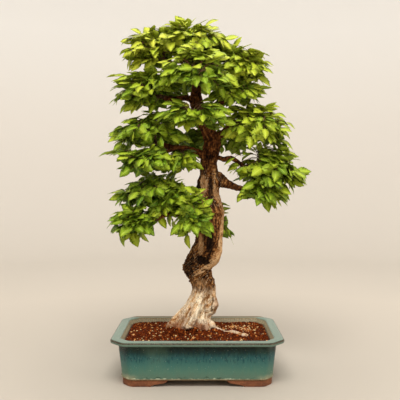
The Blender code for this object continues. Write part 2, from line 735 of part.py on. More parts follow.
def shoot_blade(shoot, draw, grow=0.0):
    """One thin closed blade: a rib with its alternate leaves, the outline cut back to the rib between.

    It returns corners in millimetres and triangles, both faces split alike. Growth makes the room needed.
    """
    reach = (shoot[2] - shoot[0]).length
    leaves = shoot_leaves(reach)
    corners = []
    lifts = []
    top = []
    edges = {-1: [], 1: []}

    def corner(place, lift):
        corners.append(place)
        lifts.append(lift)
        return len(corners) - 1

    def rib_corner(along, hand):
        place, _, side, normal = shoot_frame(shoot, along)
        thick = RIB_THICKNESS + (LEAF_THICKNESS - RIB_THICKNESS) * along / reach
        index = corner(place + side * hand * (RIB_WIDTH / 2 + grow), normal * (thick / 2 + grow))
        edges[hand].append((along, index))
        return index

    def leaf(low, high, along, turn, hand):
        _, heading, side, normal = shoot_frame(shoot, along)
        foot = (corners[low] + corners[high]) / 2
        nod = draw.uniform(0, LEAF_NOD)
        way = (heading * math.cos(turn) + side * math.sin(turn) - normal * nod).normalized()
        face = (normal + side * draw.uniform(-LEAF_ROLL, LEAF_ROLL)).normalized()
        face = (face - way * face.dot(way)).normalized()
        across = way.cross(face) * (-hand if hand else 1)
        length = LEAF_LENGTH + draw.uniform(-1, 1) * LEAF_LENGTH_SPREAD + grow * 2
        width = length * LEAF_WIDTH_SHARE / 2 + grow
        widest = foot + way * length * LEAF_WIDEST + face * width * LEAF_FOLD
        lift = face * (LEAF_THICKNESS / 2 + grow)
        near = corner(widest + across * width, lift)
        far = corner(widest - across * width, lift)
        tip = corner(foot + way * length - face * length * LEAF_DROOP, lift)
        halves = [(low, near, tip), (low, tip, high), (high, tip, far)]
        top.extend([half[::-1] for half in halves] if hand > 0 else halves)

    first = SUNK_ROOT if grow else 0.0
    rib_corner(first, -1)
    rib_corner(first, 1)
    for k in range(leaves - 1):
        hand = 1 if k % 2 else -1
        along = reach - (leaves - 1 - k) * LEAF_PITCH
        low = rib_corner(along - STALK_WIDTH / 2, hand)
        high = rib_corner(along + STALK_WIDTH / 2, hand)
        spread = 1 + draw.uniform(-LEAF_ANGLE_SPREAD, LEAF_ANGLE_SPREAD)
        leaf(low, high, along, LEAF_ANGLE * hand * spread, hand)
    turn = draw.uniform(-END_LEAF_TURN, END_LEAF_TURN)
    leaf(rib_corner(reach, -1), rib_corner(reach, 1), reach, turn, 0)
    top += rib_triangles(edges[-1], edges[1])
    return thicken(corners, lifts, top)


def rib_triangles(left, right):
    """Triangles that fill the rib between its two edges, each a list of (distance, corner)."""
    made = []
    i = j = 0
    while i < len(left) - 1 or j < len(right) - 1:
        if j == len(right) - 1 or (i < len(left) - 1 and left[i + 1][0] <= right[j + 1][0]):
            made.append((left[i][1], left[i + 1][1], right[j][1]))
            i += 1
        else:
            made.append((left[i][1], right[j + 1][1], right[j][1]))
            j += 1
    return made


def thicken(corners, lifts, top):
    """A sheet of triangles given a thickness: both faces split alike, and walls round its outline."""
    count = len(corners)
    places = [p + lift for p, lift in zip(corners, lifts)]
    places += [p - lift for p, lift in zip(corners, lifts)]
    edges = {pair for a, b, c in top for pair in ((a, b), (b, c), (c, a))}
    faces = list(top) + [(c + count, b + count, a + count) for a, b, c in top]
    for start, end in sorted(edges):
        if (end, start) not in edges:
            faces.append((start, start + count, end + count))
            faces.append((start, end + count, end))
    return places, faces


def tree_of(places, faces):
    return BVHTree.FromPolygons([tuple(p) for p in places], faces)


def tree_of_object(made):
    """Search tree of an object's mesh, in millimetres."""
    made.data.calc_loop_triangles()
    places = [v.co / MM for v in made.data.vertices]
    return tree_of(places, [tuple(t.vertices) for t in made.data.loop_triangles])


def object_from(places, faces):
    mesh = bpy.data.meshes.new("blade")
    mesh.from_pydata([tuple(p * MM) for p in places], [], faces)
    made = bpy.data.objects.new("blade", mesh)
    bpy.context.scene.collection.objects.link(made)
    return made


def stem_object(pad, finish):
    points, radii = spray_stem(pad)
    rings = tube_rings([p * MM for p in points], [r * MM for r in radii], STEM_SIDES)
    return object_of("spray_" + pad[0], loft(rings), finish)


def hook_cost(hook, end, outward):
    """How badly a shoot from this place would run: its length off the best, and its turn aside."""
    run = end - hook
    return abs(run.length - BEST_REACH) + TURN_COST * (1 - run.normalized().dot(outward))


def place_shoots(pad, number, stem, blocked):
    """Closed blades of a pad's shoots. One that would touch another piece is turned or left out."""
    points, _ = spray_stem(pad)
    hooks = [a.lerp(b, t) for a, b in zip(points, points[1:]) for t in HOOK_STEPS][FIRST_HOOK:]
    hooks.append(points[-1])
    draw = random.Random(SPRAY_SEED + number)
    wanted = pad[5]
    own = [stem]
    blades = []
    for candidate in range(wanted * CANDIDATES_PER_SHOOT):
        if len(blades) == wanted:
            break
        tip, outward, sag = pad_tip(pad, candidate)
        for attempt in range(TRIES):
            turned = Matrix.Rotation(draw.uniform(-TURN_STEP, TURN_STEP) * attempt, 3, "Z") @ outward
            goal = tip + UP * draw.uniform(-LIFT_STEP, LIFT_STEP) * attempt
            last_way = (turned - UP * sag).normalized()
            end = goal - last_way * LEAF_LENGTH
            hook = min(hooks, key=lambda place: hook_cost(place, end, turned))
            reach = (end - hook).length
            if shoot_leaves(reach) < FEWEST_LEAVES:
                continue
            bend = end - last_way * reach * SHOOT_BEND
            shoot = (hook, bend, end, (UP + turned * SHOOT_TILT).normalized())
            state = draw.getstate()
            places, faces = shoot_blade(shoot, draw, ROOM)
            if leaves_pad(pad, places):
                continue
            room = tree_of(places, faces)
            if any(room.overlap(other) for other in blocked + own):
                continue
            draw.setstate(state)
            blades.append(object_from(*shoot_blade(shoot, draw)))
            own.append(room)
            break
    return blades


def build_sprays(trunk, leaf):
    """One leafy spray for each pad: its stem with the shoots that find room."""
    sprays = [stem_object(pad, leaf) for pad in PADS]
    stems = [tree_of_object(spray) for spray in sprays]
    blocked = [tree_of_object(trunk)]
    for number, pad in enumerate(PADS):
        others = blocked + stems[:number] + stems[number + 1:]
        shoots = place_shoots(pad, number, stems[number], others)
        apply_boolean(sprays[number], shoots, "UNION", "MANIFOLD")
        keep_largest_body(sprays[number])
        blocked.append(tree_of_object(sprays[number]))
    return sprays


def centre_on_footprint(objects):
    """Moves the whole object so that the middle of its bounding box stands over the origin."""
    points = [v.co for made in objects for v in made.data.vertices]
    middle_x = (min(p.x for p in points) + max(p.x for p in points)) / 2
    middle_y = (min(p.y for p in points) + max(p.y for p in points)) / 2
    lowest = min(p.z for p in points)
    for made in objects:
        made.data.transform(Matrix.Translation((-middle_x, -middle_y, -lowest)))


def main():
    clear_scene()
    glaze = material("teal glaze", (0.09, 0.23, 0.2), 0.25)
    earth = material("akadama soil", (0.24, 0.06, 0.02), 0.95)
    net = material("black plastic net", (0.02, 0.02, 0.02), 0.6)
    bark = material("hornbeam bark", (0.3, 0.18, 0.1), 0.85)
    leaf = material("hornbeam leaf", (0.16, 0.34, 0.03), 0.45)
    built = [
        build_pot(glaze),
        build_soil(earth),
        build_screen("drain_screen_left", -DRAIN_HOLE_X, net),
        build_screen("drain_screen_right", DRAIN_HOLE_X, net),
        build_trunk(bark),
    ]
    centre_on_footprint(built + build_sprays(built[-1], leaf))


main()
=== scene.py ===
"""The looks of a korean hornbeam bonsai in a glazed pot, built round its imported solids.

Lengths are millimetres from the middle of the pot's underside until MM turns them into metres.
"""

import math

import bmesh
import bpy
import numpy as np
from mathutils import Matrix, Vector, noise
from mathutils.bvhtree import BVHTree


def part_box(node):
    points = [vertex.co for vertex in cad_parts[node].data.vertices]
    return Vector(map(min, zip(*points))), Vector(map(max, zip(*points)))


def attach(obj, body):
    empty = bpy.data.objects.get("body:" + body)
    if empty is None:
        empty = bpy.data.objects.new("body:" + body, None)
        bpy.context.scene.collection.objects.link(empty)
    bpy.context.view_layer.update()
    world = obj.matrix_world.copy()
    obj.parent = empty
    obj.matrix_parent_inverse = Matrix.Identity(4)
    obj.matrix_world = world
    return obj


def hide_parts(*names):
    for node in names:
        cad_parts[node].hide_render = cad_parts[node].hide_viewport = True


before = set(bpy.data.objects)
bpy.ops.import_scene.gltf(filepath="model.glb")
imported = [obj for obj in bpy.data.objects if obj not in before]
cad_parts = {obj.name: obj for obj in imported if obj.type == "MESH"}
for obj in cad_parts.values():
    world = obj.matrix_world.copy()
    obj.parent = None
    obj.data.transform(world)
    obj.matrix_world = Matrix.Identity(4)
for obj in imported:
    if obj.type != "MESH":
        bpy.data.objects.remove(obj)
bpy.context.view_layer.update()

MM = 0.001
pot_low, pot_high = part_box("pot")
MIDDLE = np.array([(pot_low.x + pot_high.x) / 2, (pot_low.y + pot_high.y) / 2, 0.0]) / MM
UP = np.array([0.0, 0.0, 1.0])


# Small helpers

def srgb(red, green, blue):
    """A colour given as the usual 0 to 255 numbers, as linear light."""
    values = [c / 255 for c in (red, green, blue)]
    return tuple(c / 12.92 if c <= 0.04045 else ((c + 0.055) / 1.055) ** 2.4 for c in values)


def unit(vectors):
    lengths = np.linalg.norm(vectors, axis=-1, keepdims=True)
    return vectors / np.maximum(lengths, 1e-9)


def smooth_step(low, high, values):
    t = np.clip((values - low) / (high - low), 0, 1)
    return t * t * (3 - 2 * t)


def bezier(a, b, c, d, steps):
    """Points on a cubic curve."""
    t = np.linspace(0, 1, steps)[:, None]
    return a * (1 - t) ** 3 + 3 * b * t * (1 - t) ** 2 + 3 * c * t ** 2 * (1 - t) + d * t ** 3


def catmull(points, steps):
    """Points on a smooth curve through the given ones, with any radius carried along."""
    p = np.array([points[0], *points, points[-1]], float)
    made = []
    for a, b, c, d in zip(p, p[1:], p[2:], p[3:]):
        for t in np.arange(steps) / steps:
            made.append(0.5 * (2 * b + (c - a) * t + (2 * a - 5 * b + 4 * c - d) * t ** 2
                               + (3 * b - a - 3 * c + d) * t ** 3))
    made.append(p[-1])
    return np.array(made)


def add_object(name, data):
    """A new object in the scene."""
    made = bpy.data.objects.new(name, data)
    bpy.context.scene.collection.objects.link(made)
    return made


def mesh_object(name, points, faces, finish, smooth=True):
    """A piece from points in millimetres about the pot's middle."""
    mesh = bpy.data.meshes.new(name)
    mesh.from_pydata((np.asarray(points) + MIDDLE) * MM, [], faces)
    mesh.polygons.foreach_set("use_smooth", [smooth] * len(mesh.polygons))
    mesh.materials.append(finish)
    return add_object(name, mesh)


def give_uv(made, name, values):
    """A UV map from an array with one pair for each corner of the mesh."""
    layer = made.data.uv_layers.new(name=name)
    layer.data.foreach_set("uv", np.asarray(values, np.float32).ravel())


def give_number(made, name, values):
    """A number at each point of the mesh."""
    layer = made.data.attributes.new(name, "FLOAT", "POINT")
    layer.data.foreach_set("value", np.asarray(values, np.float32))


def band_faces(rings, sides, first=0, closed=False):
    """The faces between rings of points that follow each other."""
    faces = []
    for row in range(rings if closed else rings - 1):
        low = first + row * sides
        high = first + (row + 1) % rings * sides
        for k in range(sides):
            n = (k + 1) % sides
            faces.append((low + k, low + n, high + n, high + k))
    return faces


class Tubes:
    """Collects round tubes along paths into one mesh."""

    def __init__(self):
        self.points, self.faces = [], []

    def add(self, path, radii, sides):
        path = np.asarray(path, float)
        ahead = unit(np.gradient(path, axis=0))
        side = np.cross(ahead[0], (0.31, 0.17, 0.93))
        turns = np.arange(sides) * math.tau / sides
        first = len(self.points)
        for place, way, radius in zip(path, ahead, radii):
            side = unit(side - way * np.dot(side, way))
            other = np.cross(way, side)
            ring = np.cos(turns)[:, None] * side + np.sin(turns)[:, None] * other
            self.points.extend(place + ring * radius)
        last = len(self.points) - sides
        self.faces += band_faces(len(path), sides, first)
        self.faces.append(tuple(reversed(range(first, first + sides))))
        self.faces.append(tuple(range(last, last + sides)))


# Material helpers

class Wire:
    """A value that runs between nodes. Sums written with it make the nodes for them."""

    def __init__(self, look, socket):
        self.look = look
        self.socket = socket

    def __add__(self, other):
        return self.look.maths("ADD", self, other)

    def __sub__(self, other):
        return self.look.maths("SUBTRACT", self, other)

    def __mul__(self, other):
        return self.look.maths("MULTIPLY", self, other)

    def __abs__(self):
        return self.look.maths("ABSOLUTE", self)

    def step(self, low, high):
        """Runs from 0 to 1 with soft ends as the value goes from low to high."""
        return self.look.put("MapRange", {0: self, 1: low, 2: high}, interpolation_type="SMOOTHSTEP")


class Look:
    """A Principled material and short ways to add nodes to it."""

    def __init__(self, name):
        self.material = bpy.data.materials.new(name)
        self.material.use_nodes = True
        self.tree = self.material.node_tree

    def put(self, kind, inputs, output=0, **settings):
        """A new node. Gives the wire from one of its outputs."""
        node = self.tree.nodes.new("ShaderNode" + kind)
        for key, value in settings.items():
            setattr(node, key, value)
        for key, value in inputs.items():
            self.plug(value, node.inputs[key])
        return Wire(self, node.outputs[output])

    def plug(self, value, socket):
        if isinstance(value, Wire):
            self.tree.links.new(value.socket, socket)
        elif socket.type == "RGBA":
            socket.default_value = (*srgb(*value), 1.0)
        else:
            socket.default_value = value

    def outputs(self, wire):
        """Wires from all the outputs of the node that a wire comes from."""
        return [Wire(self, socket) for socket in wire.socket.node.outputs]

    def split(self, vector):
        return self.outputs(self.put("SeparateXYZ", {0: vector}))

    def maths(self, operation, a, b=0.0):
        return self.put("Math", {0: a, 1: b}, operation=operation)

    def mix(self, factor, a, b, blend="MIX"):
        return self.put("Mix", {0: factor, 6: a, 7: b}, 2, data_type="RGBA", blend_type=blend)

    def ramp(self, factor, *stops):
        """Colours that run into each other. A stop is its place, then its red, green and blue."""
        wire = self.put("ValToRGB", {0: factor})
        elements = wire.socket.node.color_ramp.elements
        while len(elements) < len(stops):
            elements.new(0.5)
        for element, (place, *colour) in zip(elements, stops):
            element.position = place
            element.color = (*srgb(*colour), 1.0)
        return wire

    def place(self):
        return self.put("TexCoord", {}, "Object")

    def stretched(self, vector, upright):
        return self.put("Mapping", {0: vector, 3: (1, 1, upright)})

    def noise(self, vector, scale, detail=4.0, rough=0.55, distortion=0.0):
        return self.put("TexNoise", {"Vector": vector, "Scale": scale, "Detail": detail,
                                     "Roughness": rough, "Distortion": distortion})

    def read(self, name, output="Fac"):
        """What the mesh carries under a name."""
        return self.put("Attribute", {}, output, attribute_name=name)

    def uv(self, name):
        return self.put("UVMap", {}, uv_map=name)

    def bump(self, height, strength, distance_mm):
        return self.put("Bump", {"Height": height, "Strength": strength, "Distance": distance_mm * MM})

    def finish(self, **values):
        """Sets the shader's inputs and gives the material."""
        shader = self.tree.nodes["Principled BSDF"]
        for key, value in values.items():
            self.plug(value, shader.inputs[key.replace("_", " ")])
        return self.material


# The trunk's shape, as the solids have it: height, centre, half sizes
STATIONS = np.array((
    (58, -14, 15, 40, 33), (103, -15, 15, 42, 34), (113, -15, 15, 40, 33), (124, -13, 15, 38, 32),
    (140, -8, 15, 34, 30), (160, 4, 14, 30, 28), (178, 12, 13, 29, 27), (194, 15, 13, 28, 26),
    (212, 11, 12, 29, 26), (226, 2, 11, 32, 28), (240, -2, 10, 35, 29), (258, 7, 9, 39, 31),
    (272, 14, 8, 39, 31), (287, 19, 7, 36, 30), (302, 25, 6, 31, 28), (334, 28, 5, 31, 27),
    (354, 30, 5, 32, 28), (374, 30, 5, 33, 28), (392, 28, 7, 30, 26), (410, 26, 9, 25, 24),
    (428, 23, 10, 27, 26), (447, 24, 11, 25, 24), (462, 26, 12, 20, 20), (492, 27, 13, 18, 18),
    (510, 31, 14, 20, 19), (540, 35, 14, 21, 20), (562, 26, 13, 18, 18), (590, 10, 12, 17, 16),
    (622, 0, 10, 17, 16), (647, -3, 9, 12.5, 12), (676, 0, 8, 9.5, 9), (706, 4, 7, 7, 7),
    (734, 6, 6, 5, 5),
), float)
LIVE_VEIN = np.array((
    (-14, -12, 224, 2.2), (-3, -18, 231, 3), (10, -20, 239, 4.6), (27, -19, 250, 7.6),
    (43, -12, 265, 9.5), (50, -4, 285, 9.5), (51, -1, 312, 9), (53, 0, 340, 9), (54, 1, 368, 9),
    (49, 0, 392, 8.5), (41, -4, 414, 7), (33, -6, 438, 5),
), float)

TRUNK_GIRTH = 34.0

# The ends of the branches that the twigs run on from: place, place just before it, radius
BRANCH_ENDS = {
    "leader": ((6, 6, 734), (4, 7, 706), 5.0),
    "low_left_up": ((-88, 2, 402), (-72, -6, 388), 4.4),
    "low_left_side": ((-36, -14, 374), (-33, -7, 367), 2.6),
    "low_left_down": ((-92, -42, 360), (-74, -28, 368), 4.2),
    "low_front": ((-12, -46, 386), (-18, -26, 378), 3.6),
    "low_back": ((54, 56, 350), (42, 42, 352), 3.0),
    "mid_left": ((-82, -4, 530), (-58, -2, 523), 6.0),
    "mid_left_side": ((-30, -5, 516), (-27, 3, 521), 2.6),
    "mid_left_low": ((-88, -34, 502), (-72, -20, 512), 3.4),
    "mid_right": ((92, 2, 578), (76, 6, 570), 6.0),
    "right_arm": ((120, -4, 474), (98, 0, 487), 4.4),
    "low_right": ((108, -8, 428), (92, -4, 430), 4.8),
    "mid_front": ((16, -38, 572), (26, -14, 562), 3.4),
    "mid_back": ((28, 66, 542), (32, 44, 532), 5.0),
    "upper_left": ((-80, 0, 640), (-54, 2, 636), 5.2),
    "upper_right": ((68, 0, 634), (46, 2, 622), 4.6),
    "crown_front": ((-6, -42, 662), (-4, -18, 656), 3.6),
    "crown_back": ((-2, 60, 674), (-4, 38, 660), 4.0),
    "crown_left": ((-66, 0, 722), (-52, 0, 712), 3.8),
    "crown_right": ((66, 0, 712), (52, 0, 706), 3.8),
}

# Foliage. An inner pad belongs to the same spray as the one that it is named after
PADS = (
    # name, branch, middle, half sizes, droop of the edge, number of shoots
    ("crown_top", "leader", (-16, 0, 770), (118, 96, 54), 22, 66),
    ("crown_left", "crown_left", (-107, 4, 750), (79, 84, 58), 14, 44),
    ("crown_right", "crown_right", (105, 4, 716), (77, 84, 54), 20, 44),
    ("crown_front", "crown_front", (-4, -88, 690), (102, 66, 62), 26, 46),
    ("crown_back", "crown_back", (0, 100, 704), (100, 68, 60), 24, 34),
    ("upper_left", "upper_left", (-110, -4, 653), (94, 82, 58), 10, 58),
    ("upper_right", "upper_right", (94, 0, 654), (76, 80, 42), 14, 36),
    ("mid_left", "mid_left", (-112, 8, 568), (102, 106, 52), 28, 58),
    ("mid_left_inner", "mid_left_side", (-42, -36, 500), (48, 44, 24), 14, 12),
    ("mid_left_low", "mid_left_low", (-118, -40, 498), (84, 70, 40), 20, 34),
    ("mid_right", "mid_right", (138, 4, 580), (94, 106, 60), 32, 64),
    ("right_arm", "right_arm", (172, -4, 484), (86, 90, 58), 28, 48),
    ("low_right", "low_right", (156, -20, 430), (64, 66, 46), 14, 32),
    ("mid_front", "mid_front", (-6, -78, 602), (92, 54, 40), 18, 32),
    ("mid_back", "mid_back", (18, 112, 560), (90, 62, 50), 26, 28),
    ("low_left", "low_left_up", (-110, 4, 426), (96, 92, 52), 22, 52),
    ("low_left_inner", "low_left_side", (-58, -26, 420), (44, 50, 34), 18, 18),
    ("lowest_left", "low_left_down", (-140, -50, 360), (70, 58, 42), 22, 32),
    ("low_front", "low_front", (-8, -72, 372), (54, 44, 62), 28, 24),
    ("low_back", "low_back", (56, 84, 333), (34, 40, 40), 12, 10),
)

# Single shoots that stand out in the tree's outline, by pad: the tip's place, and its way in tenths
SHOOTS = {
    "crown_top": (
        (-88, -20, 812, -7, -2, 2), (-60, 10, 818, -4, 1, 6), (-70, -40, 806, -6, -5, 2),
        (-42, 0, 826, -4, 0, 7), (-12, 6, 829, 2, 0, 8), (-32, -12, 828, -3, -2, 8),
        (-104, -10, 800, -8, -1, 2), (44, -10, 796, 7, -2, 2), (62, -16, 796, 7, -2, 3),
        (92, -10, 776, 9, -1, 1), (-118, -24, 798, -8, -2, 3), (-98, -30, 804, -6, -3, 4),
        (-78, -16, 814, -4, -1, 6),
    ),
    "crown_left": (
        (-182, 0, 774, -10, 0, 1), (-160, -20, 784, -9, -2, 2), (-160, -10, 704, -9, -1, -6),
        (-150, -30, 710, -10, -3, -4), (-126, -40, 708, -8, -5, -4), (-174, -12, 786, -9, -1, 3),
        (-152, -16, 790, -7, -2, 3), (-128, -20, 792, -4, -3, 6),
    ),
    "crown_right": (
        (72, -26, 764, 2, -4, 4), (172, -6, 734, 10, -1, -2), (160, -30, 742, 10, -3, 0),
        (168, -20, 720, 10, -2, -3), (98, -20, 776, 3, -2, 5), (114, -10, 766, 6, -1, 4),
        (168, -16, 676, 9, -2, -4), (174, -10, 716, 10, -1, -2),
    ),
    "upper_left": (
        (-200, 0, 698, -10, 0, 3), (-202, -10, 684, -10, -1, 2), (-196, -16, 672, -10, -1, -1),
        (-182, -30, 692, -10, -3, 3), (-186, -20, 612, -9, -2, -5), (-172, -26, 602, -7, -3, -7),
        (-160, -40, 606, -7, -5, -6), (-134, -44, 602, -3, -8, -6), (-152, -36, 599, -5, -4, -8),
        (-106, -40, 604, -3, -6, -7), (-78, -40, 616, 3, -6, -6), (-122, -40, 704, -4, -5, 5),
        (-106, -44, 706, -2, -6, 5), (-92, -40, 702, 1, -5, 5),
    ),
    "upper_right": (
        (169, -4, 666, 10, 0, 0), (152, -30, 652, 10, -3, -4), (40, -40, 632, -6, -6, -5),
        (24, -30, 640, -8, -4, -4), (30, -30, 652, -5, -5, -3), (164, -14, 662, 10, -1, 1),
    ),
    "mid_left": (
        (-208, -10, 560, -10, -1, 0), (-200, -20, 550, -10, -2, -2), (-96, -30, 612, -2, -5, 5),
        (-78, -34, 608, 0, -6, 5), (-210, -14, 548, -10, -1, -1), (-206, -18, 558, -10, -1, 1),
    ),
    "mid_left_inner": (
        (-6, -36, 478, 4, -6, -8), (2, -34, 492, 7, -5, -5), (4, -32, 468, 5, -4, -9),
    ),
    "mid_left_low": (
        (-231, -20, 508, -10, 0, -1), (-212, -36, 514, -10, -2, 0),
    ),
    "mid_right": (
        (70, -40, 612, -6, -6, 0), (88, -30, 616, -3, -7, 1), (98, -44, 604, 0, -10, -2),
        (74, -30, 590, -7, -5, -3), (210, 0, 584, 10, 0, 0), (196, -20, 602, 9, -2, 1),
        (218, -10, 538, 10, 0, -2), (168, -20, 640, 6, -2, 5),
    ),
    "right_arm": (
        (236, -10, 514, 10, 0, -1), (240, -16, 498, 10, -1, -2), (258, -8, 466, 10, 0, -2),
        (258, -14, 456, 10, -1, -5), (252, -20, 438, 9, -2, -7), (220, -14, 514, 9, -1, 3),
        (232, -20, 420, 7, -2, -8), (242, -24, 430, 8, -2, -7), (226, -28, 440, 7, -3, -5),
        (216, -30, 426, 5, -4, -8), (100, -30, 470, -7, -5, -5), (84, -20, 486, -9, -3, -3),
        (96, -20, 448, -6, -4, -8), (74, -16, 474, -9, -2, -5), (86, -24, 456, -7, -4, -7),
        (112, -30, 512, -6, -5, -1), (64, -36, 494, -8, -5, -3), (66, -34, 458, -8, -4, -5),
        (116, -30, 452, -4, -6, -7), (122, -30, 536, -3, -5, 5), (144, -26, 538, 1, -5, 6),
        (250, -14, 452, 10, 0, -3), (252, -14, 462, 10, -1, -3), (246, -18, 430, 9, -1, -6),
        (72, -24, 476, -8, -4, -1),
    ),
    "low_right": (
        (152, -40, 388, 0, -6, -9), (176, -34, 386, 3, -5, -9), (90, -26, 404, -8, -4, -6),
        (100, -30, 394, -6, -5, -8), (96, -24, 418, -9, -4, -3), (192, -36, 390, 6, -4, -8),
        (206, -30, 398, 8, -3, -6), (174, -40, 382, 2, -5, -9),
    ),
    "mid_front": (
        (-34, -96, 558, -3, -6, -7), (-12, -92, 554, 1, -6, -8),
    ),
    "low_left": (
        (-198, -12, 404, -10, 0, -3), (-207, -16, 396, -10, -1, -4), (-194, -24, 385, -8, -2, -6),
        (-198, -20, 426, -10, -1, 0), (-72, -30, 460, 5, -6, 2), (-52, -30, 450, 8, -5, 0),
        (-76, -26, 470, 4, -4, 5), (-54, -30, 472, 5, -4, 6), (-108, -40, 382, -4, -6, -7),
        (-208, -14, 404, -10, 0, -2), (-116, -62, 376, -6, -6, -4),
    ),
    "low_left_inner": (
        (-46, -30, 456, 5, -4, 6), (-28, -28, 452, 8, -3, 5), (-42, -30, 468, 5, -3, 7),
        (-38, -26, 436, 9, -3, 2), (-26, -26, 420, 9, -3, -1), (-94, -40, 386, -5, -7, -5),
        (-118, -46, 378, -6, -7, -4), (-56, -40, 334, 1, -5, -10), (-60, -44, 350, 1, -6, -9),
        (-72, -36, 366, 0, -7, -6), (-84, -44, 382, -2, -7, -6), (-82, -40, 342, 1, -6, -9),
        (-52, -40, 354, 2, -5, -9), (-98, -64, 366, -5, -6, -4), (-84, -62, 370, -2, -7, -5),
        (-72, -60, 376, 1, -7, -5),
    ),
    "lowest_left": (
        (-208, -44, 364, -10, -1, -2), (-198, -48, 378, -10, -1, 1), (-172, -54, 304, -1, -3, -10),
        (-160, -58, 306, -1, -4, -10), (-142, -56, 302, 2, -4, -10), (-172, -54, 312, -2, -4, -10),
        (-150, -54, 318, 1, -5, -9), (-116, -54, 306, 4, -4, -9), (-84, -50, 346, 5, -5, -7),
        (-66, -50, 340, 6, -4, -7),
    ),
    "low_front": (
        (-26, -76, 306, -2, -5, -10), (-58, -60, 352, -8, -3, -5),
    ),
    "low_back": (
        (84, 60, 310, 6, -3, -8), (80, 50, 298, 4, -5, -10), (78, 40, 388, 9, -3, -1),
        (72, 36, 386, 5, -3, 3),
    ),
}

# Gaps that stay free of leaves: x from and to, z from and to, and the furthest back
GAPS = (
    (-202, -168, 692, 737, 200), (118, 146, 746, 780, 200), (60, 104, 519, 543, 30), (-32, 10, 634, 652, 0),
    (-206, -176, 308, 332, 200), (-102, -78, 316, 346, 200), (-222, -186, 440, 472, 200),
    (-186, -166, 453, 472, 200), (-206, -176, 455, 500, 200), (-168, -124, 593, 610, 200),
    (50, 62, 462, 492, 40), (68, 88, 452, 464, 40), (56, 84, 400, 424, 40), (-26, 18, 596, 646, 2),
    (-212, -187, 520, 541, 200), (-192, -164, 426, 441, 200), (-206, -168, 378, 397, 200),
    (100, 124, 392, 410, 200), (142, 164, 622, 646, 200), (203, 232, 538, 566, 200),
    (-150, -140, 782, 796, 200), (-212, -172, 568, 590, 200), (66, 112, 326, 366, 200),
    (92, 118, 472, 500, 4), (-98, -32, 622, 648, -4), (-104, -60, 532, 552, -6), (-92, -44, 714, 744, 20),
    (-36, 14, 688, 706, -6), (118, 144, 490, 516, 200), (-182, -128, 449, 462, 200),
    (64, 82, 762, 774, 200), (26, 48, 804, 820, 200),
)
TREE_AXIS = np.array((12.0, 10.0, 0.0))
GOLDEN_TURN = math.tau * 0.381966
HEIGHT_STEP = 0.56984
SHOOT_LENGTHS = (28, 41)
SHORTEST_SHOOT = 8
LEAF_PITCHES = (7.0, 9.5)
LEAF_LENGTHS = (27, 38.5)
LEAF_TO_WOOD = 7
# Where leaves are painted paler or darker, as light and shade on parts of the crown. Slopes: amount, x from
# and to, z from and to
TONE_SLOPES = (
    (-0.05, -30, -110, 650, 600), (0.11, 60, 130, 470, 560), (0.10, -60, -120, 640, 700),
    (0.08, 70, 120, 690, 740), (0.08, -70, -120, 690, 740),
)
# Patches of painted shade, where leaves are darker: amount, middle in x and z, reach in x and z
TONE_PATCHES = ((-0.16, -114, 404, 36, 20), (-0.06, 110, 450, 40, 40), (-0.10, -10, 670, 70, 40))


# Leaves

LEAF_ROWS = np.array((0, .12, .29, .47, .65, .83, 1.0))
LEAF_HALF_WIDTHS = np.array((0, .74, .99, 1.0, .80, .40, 0))


def leaf_template():
    """Points (along, across, thickness side) and faces of one toothed leaf, closed like a lens."""
    rows = len(LEAF_ROWS) - 1
    points, index = [], {}

    def point(key, along, across, layer):
        index[key] = len(points)
        points.append((along, across, layer))

    for i, t in enumerate(LEAF_ROWS):
        inner = 0 < i < rows
        point(("mid", i), t, 0.0, 1.0 if inner else 0.0)
        if inner:
            point(("under", i), t, 0.0, -1.0)
            for side in (-1, 1):
                point(("edge", i, side), t + 0.012, 1.0 * side, 0.0)
    index[("under", 0)], index[("under", rows)] = index[("mid", 0)], index[("mid", rows)]
    for i in range(rows):
        for side in (-1, 1):
            point(("notch", i, side), (LEAF_ROWS[i] + LEAF_ROWS[i + 1]) / 2 + 0.012, 0.9 * side, 0.0)
    faces, under = [], []
    for side in (-1, 1):
        for i in range(rows):
            for layer in ("mid", "under"):
                keys = [(layer, i), ("edge", i, side), ("notch", i, side), ("edge", i + 1, side),
                        (layer, i + 1)]
                order = [index[key] for key in keys if key in index]
                below = layer == "under"
                faces.append(tuple(order if (side > 0) != below else order[::-1]))
                under.append(below)
    return np.array(points), faces, np.array(under)


LEAF_POINTS, LEAF_FACES, LEAF_UNDER = leaf_template()
LEAF_CORNERS = np.concatenate([np.array(f) for f in LEAF_FACES])
LEAF_CORNER_UNDER = np.concatenate([[u] * len(f) for f, u in zip(LEAF_FACES, LEAF_UNDER)])


def leaf_shapes(leaves, draw):
    """Points of all the leaves. Each leaf is (foot, way, face normal, length, width, bend, tone)."""
    foot, way, face, length, width, bend = (
        np.array([leaf[k] for leaf in leaves], float) for k in range(6))
    count = len(leaves)
    along, across, layer = (LEAF_POINTS[:, k][None, :] for k in range(3))
    half = np.interp(LEAF_POINTS[:, 0], LEAF_ROWS, LEAF_HALF_WIDTHS)[None, :]
    half = np.where(LEAF_POINTS[:, 0][None, :] > 0.999, 0.0, half)
    side = across * half * width[:, None] / 2
    turn = bend[:, None] * along
    run = length[:, None] * np.sin(turn) / bend[:, None]
    drop = -length[:, None] * (1 - np.cos(turn)) / bend[:, None]
    fold = draw.uniform(0.06, 0.32, count)[:, None]
    twist = draw.uniform(-0.35, 0.35, count)[:, None] * along
    wave = draw.uniform(0, math.tau, count)[:, None]
    ripple = 0.45 * np.sin(along * 9.0 + wave) * np.abs(across)
    lift = drop + np.abs(side) * fold + side * twist + ripple + layer * 0.17
    flat = np.stack((side * np.cos(fold * 0.5), run, lift), axis=-1)
    across_way = np.cross(way, face)
    return (foot[:, None, :] + flat[..., 0:1] * across_way[:, None, :]
            + flat[..., 1:2] * way[:, None, :] + flat[..., 2:3] * face[:, None, :])


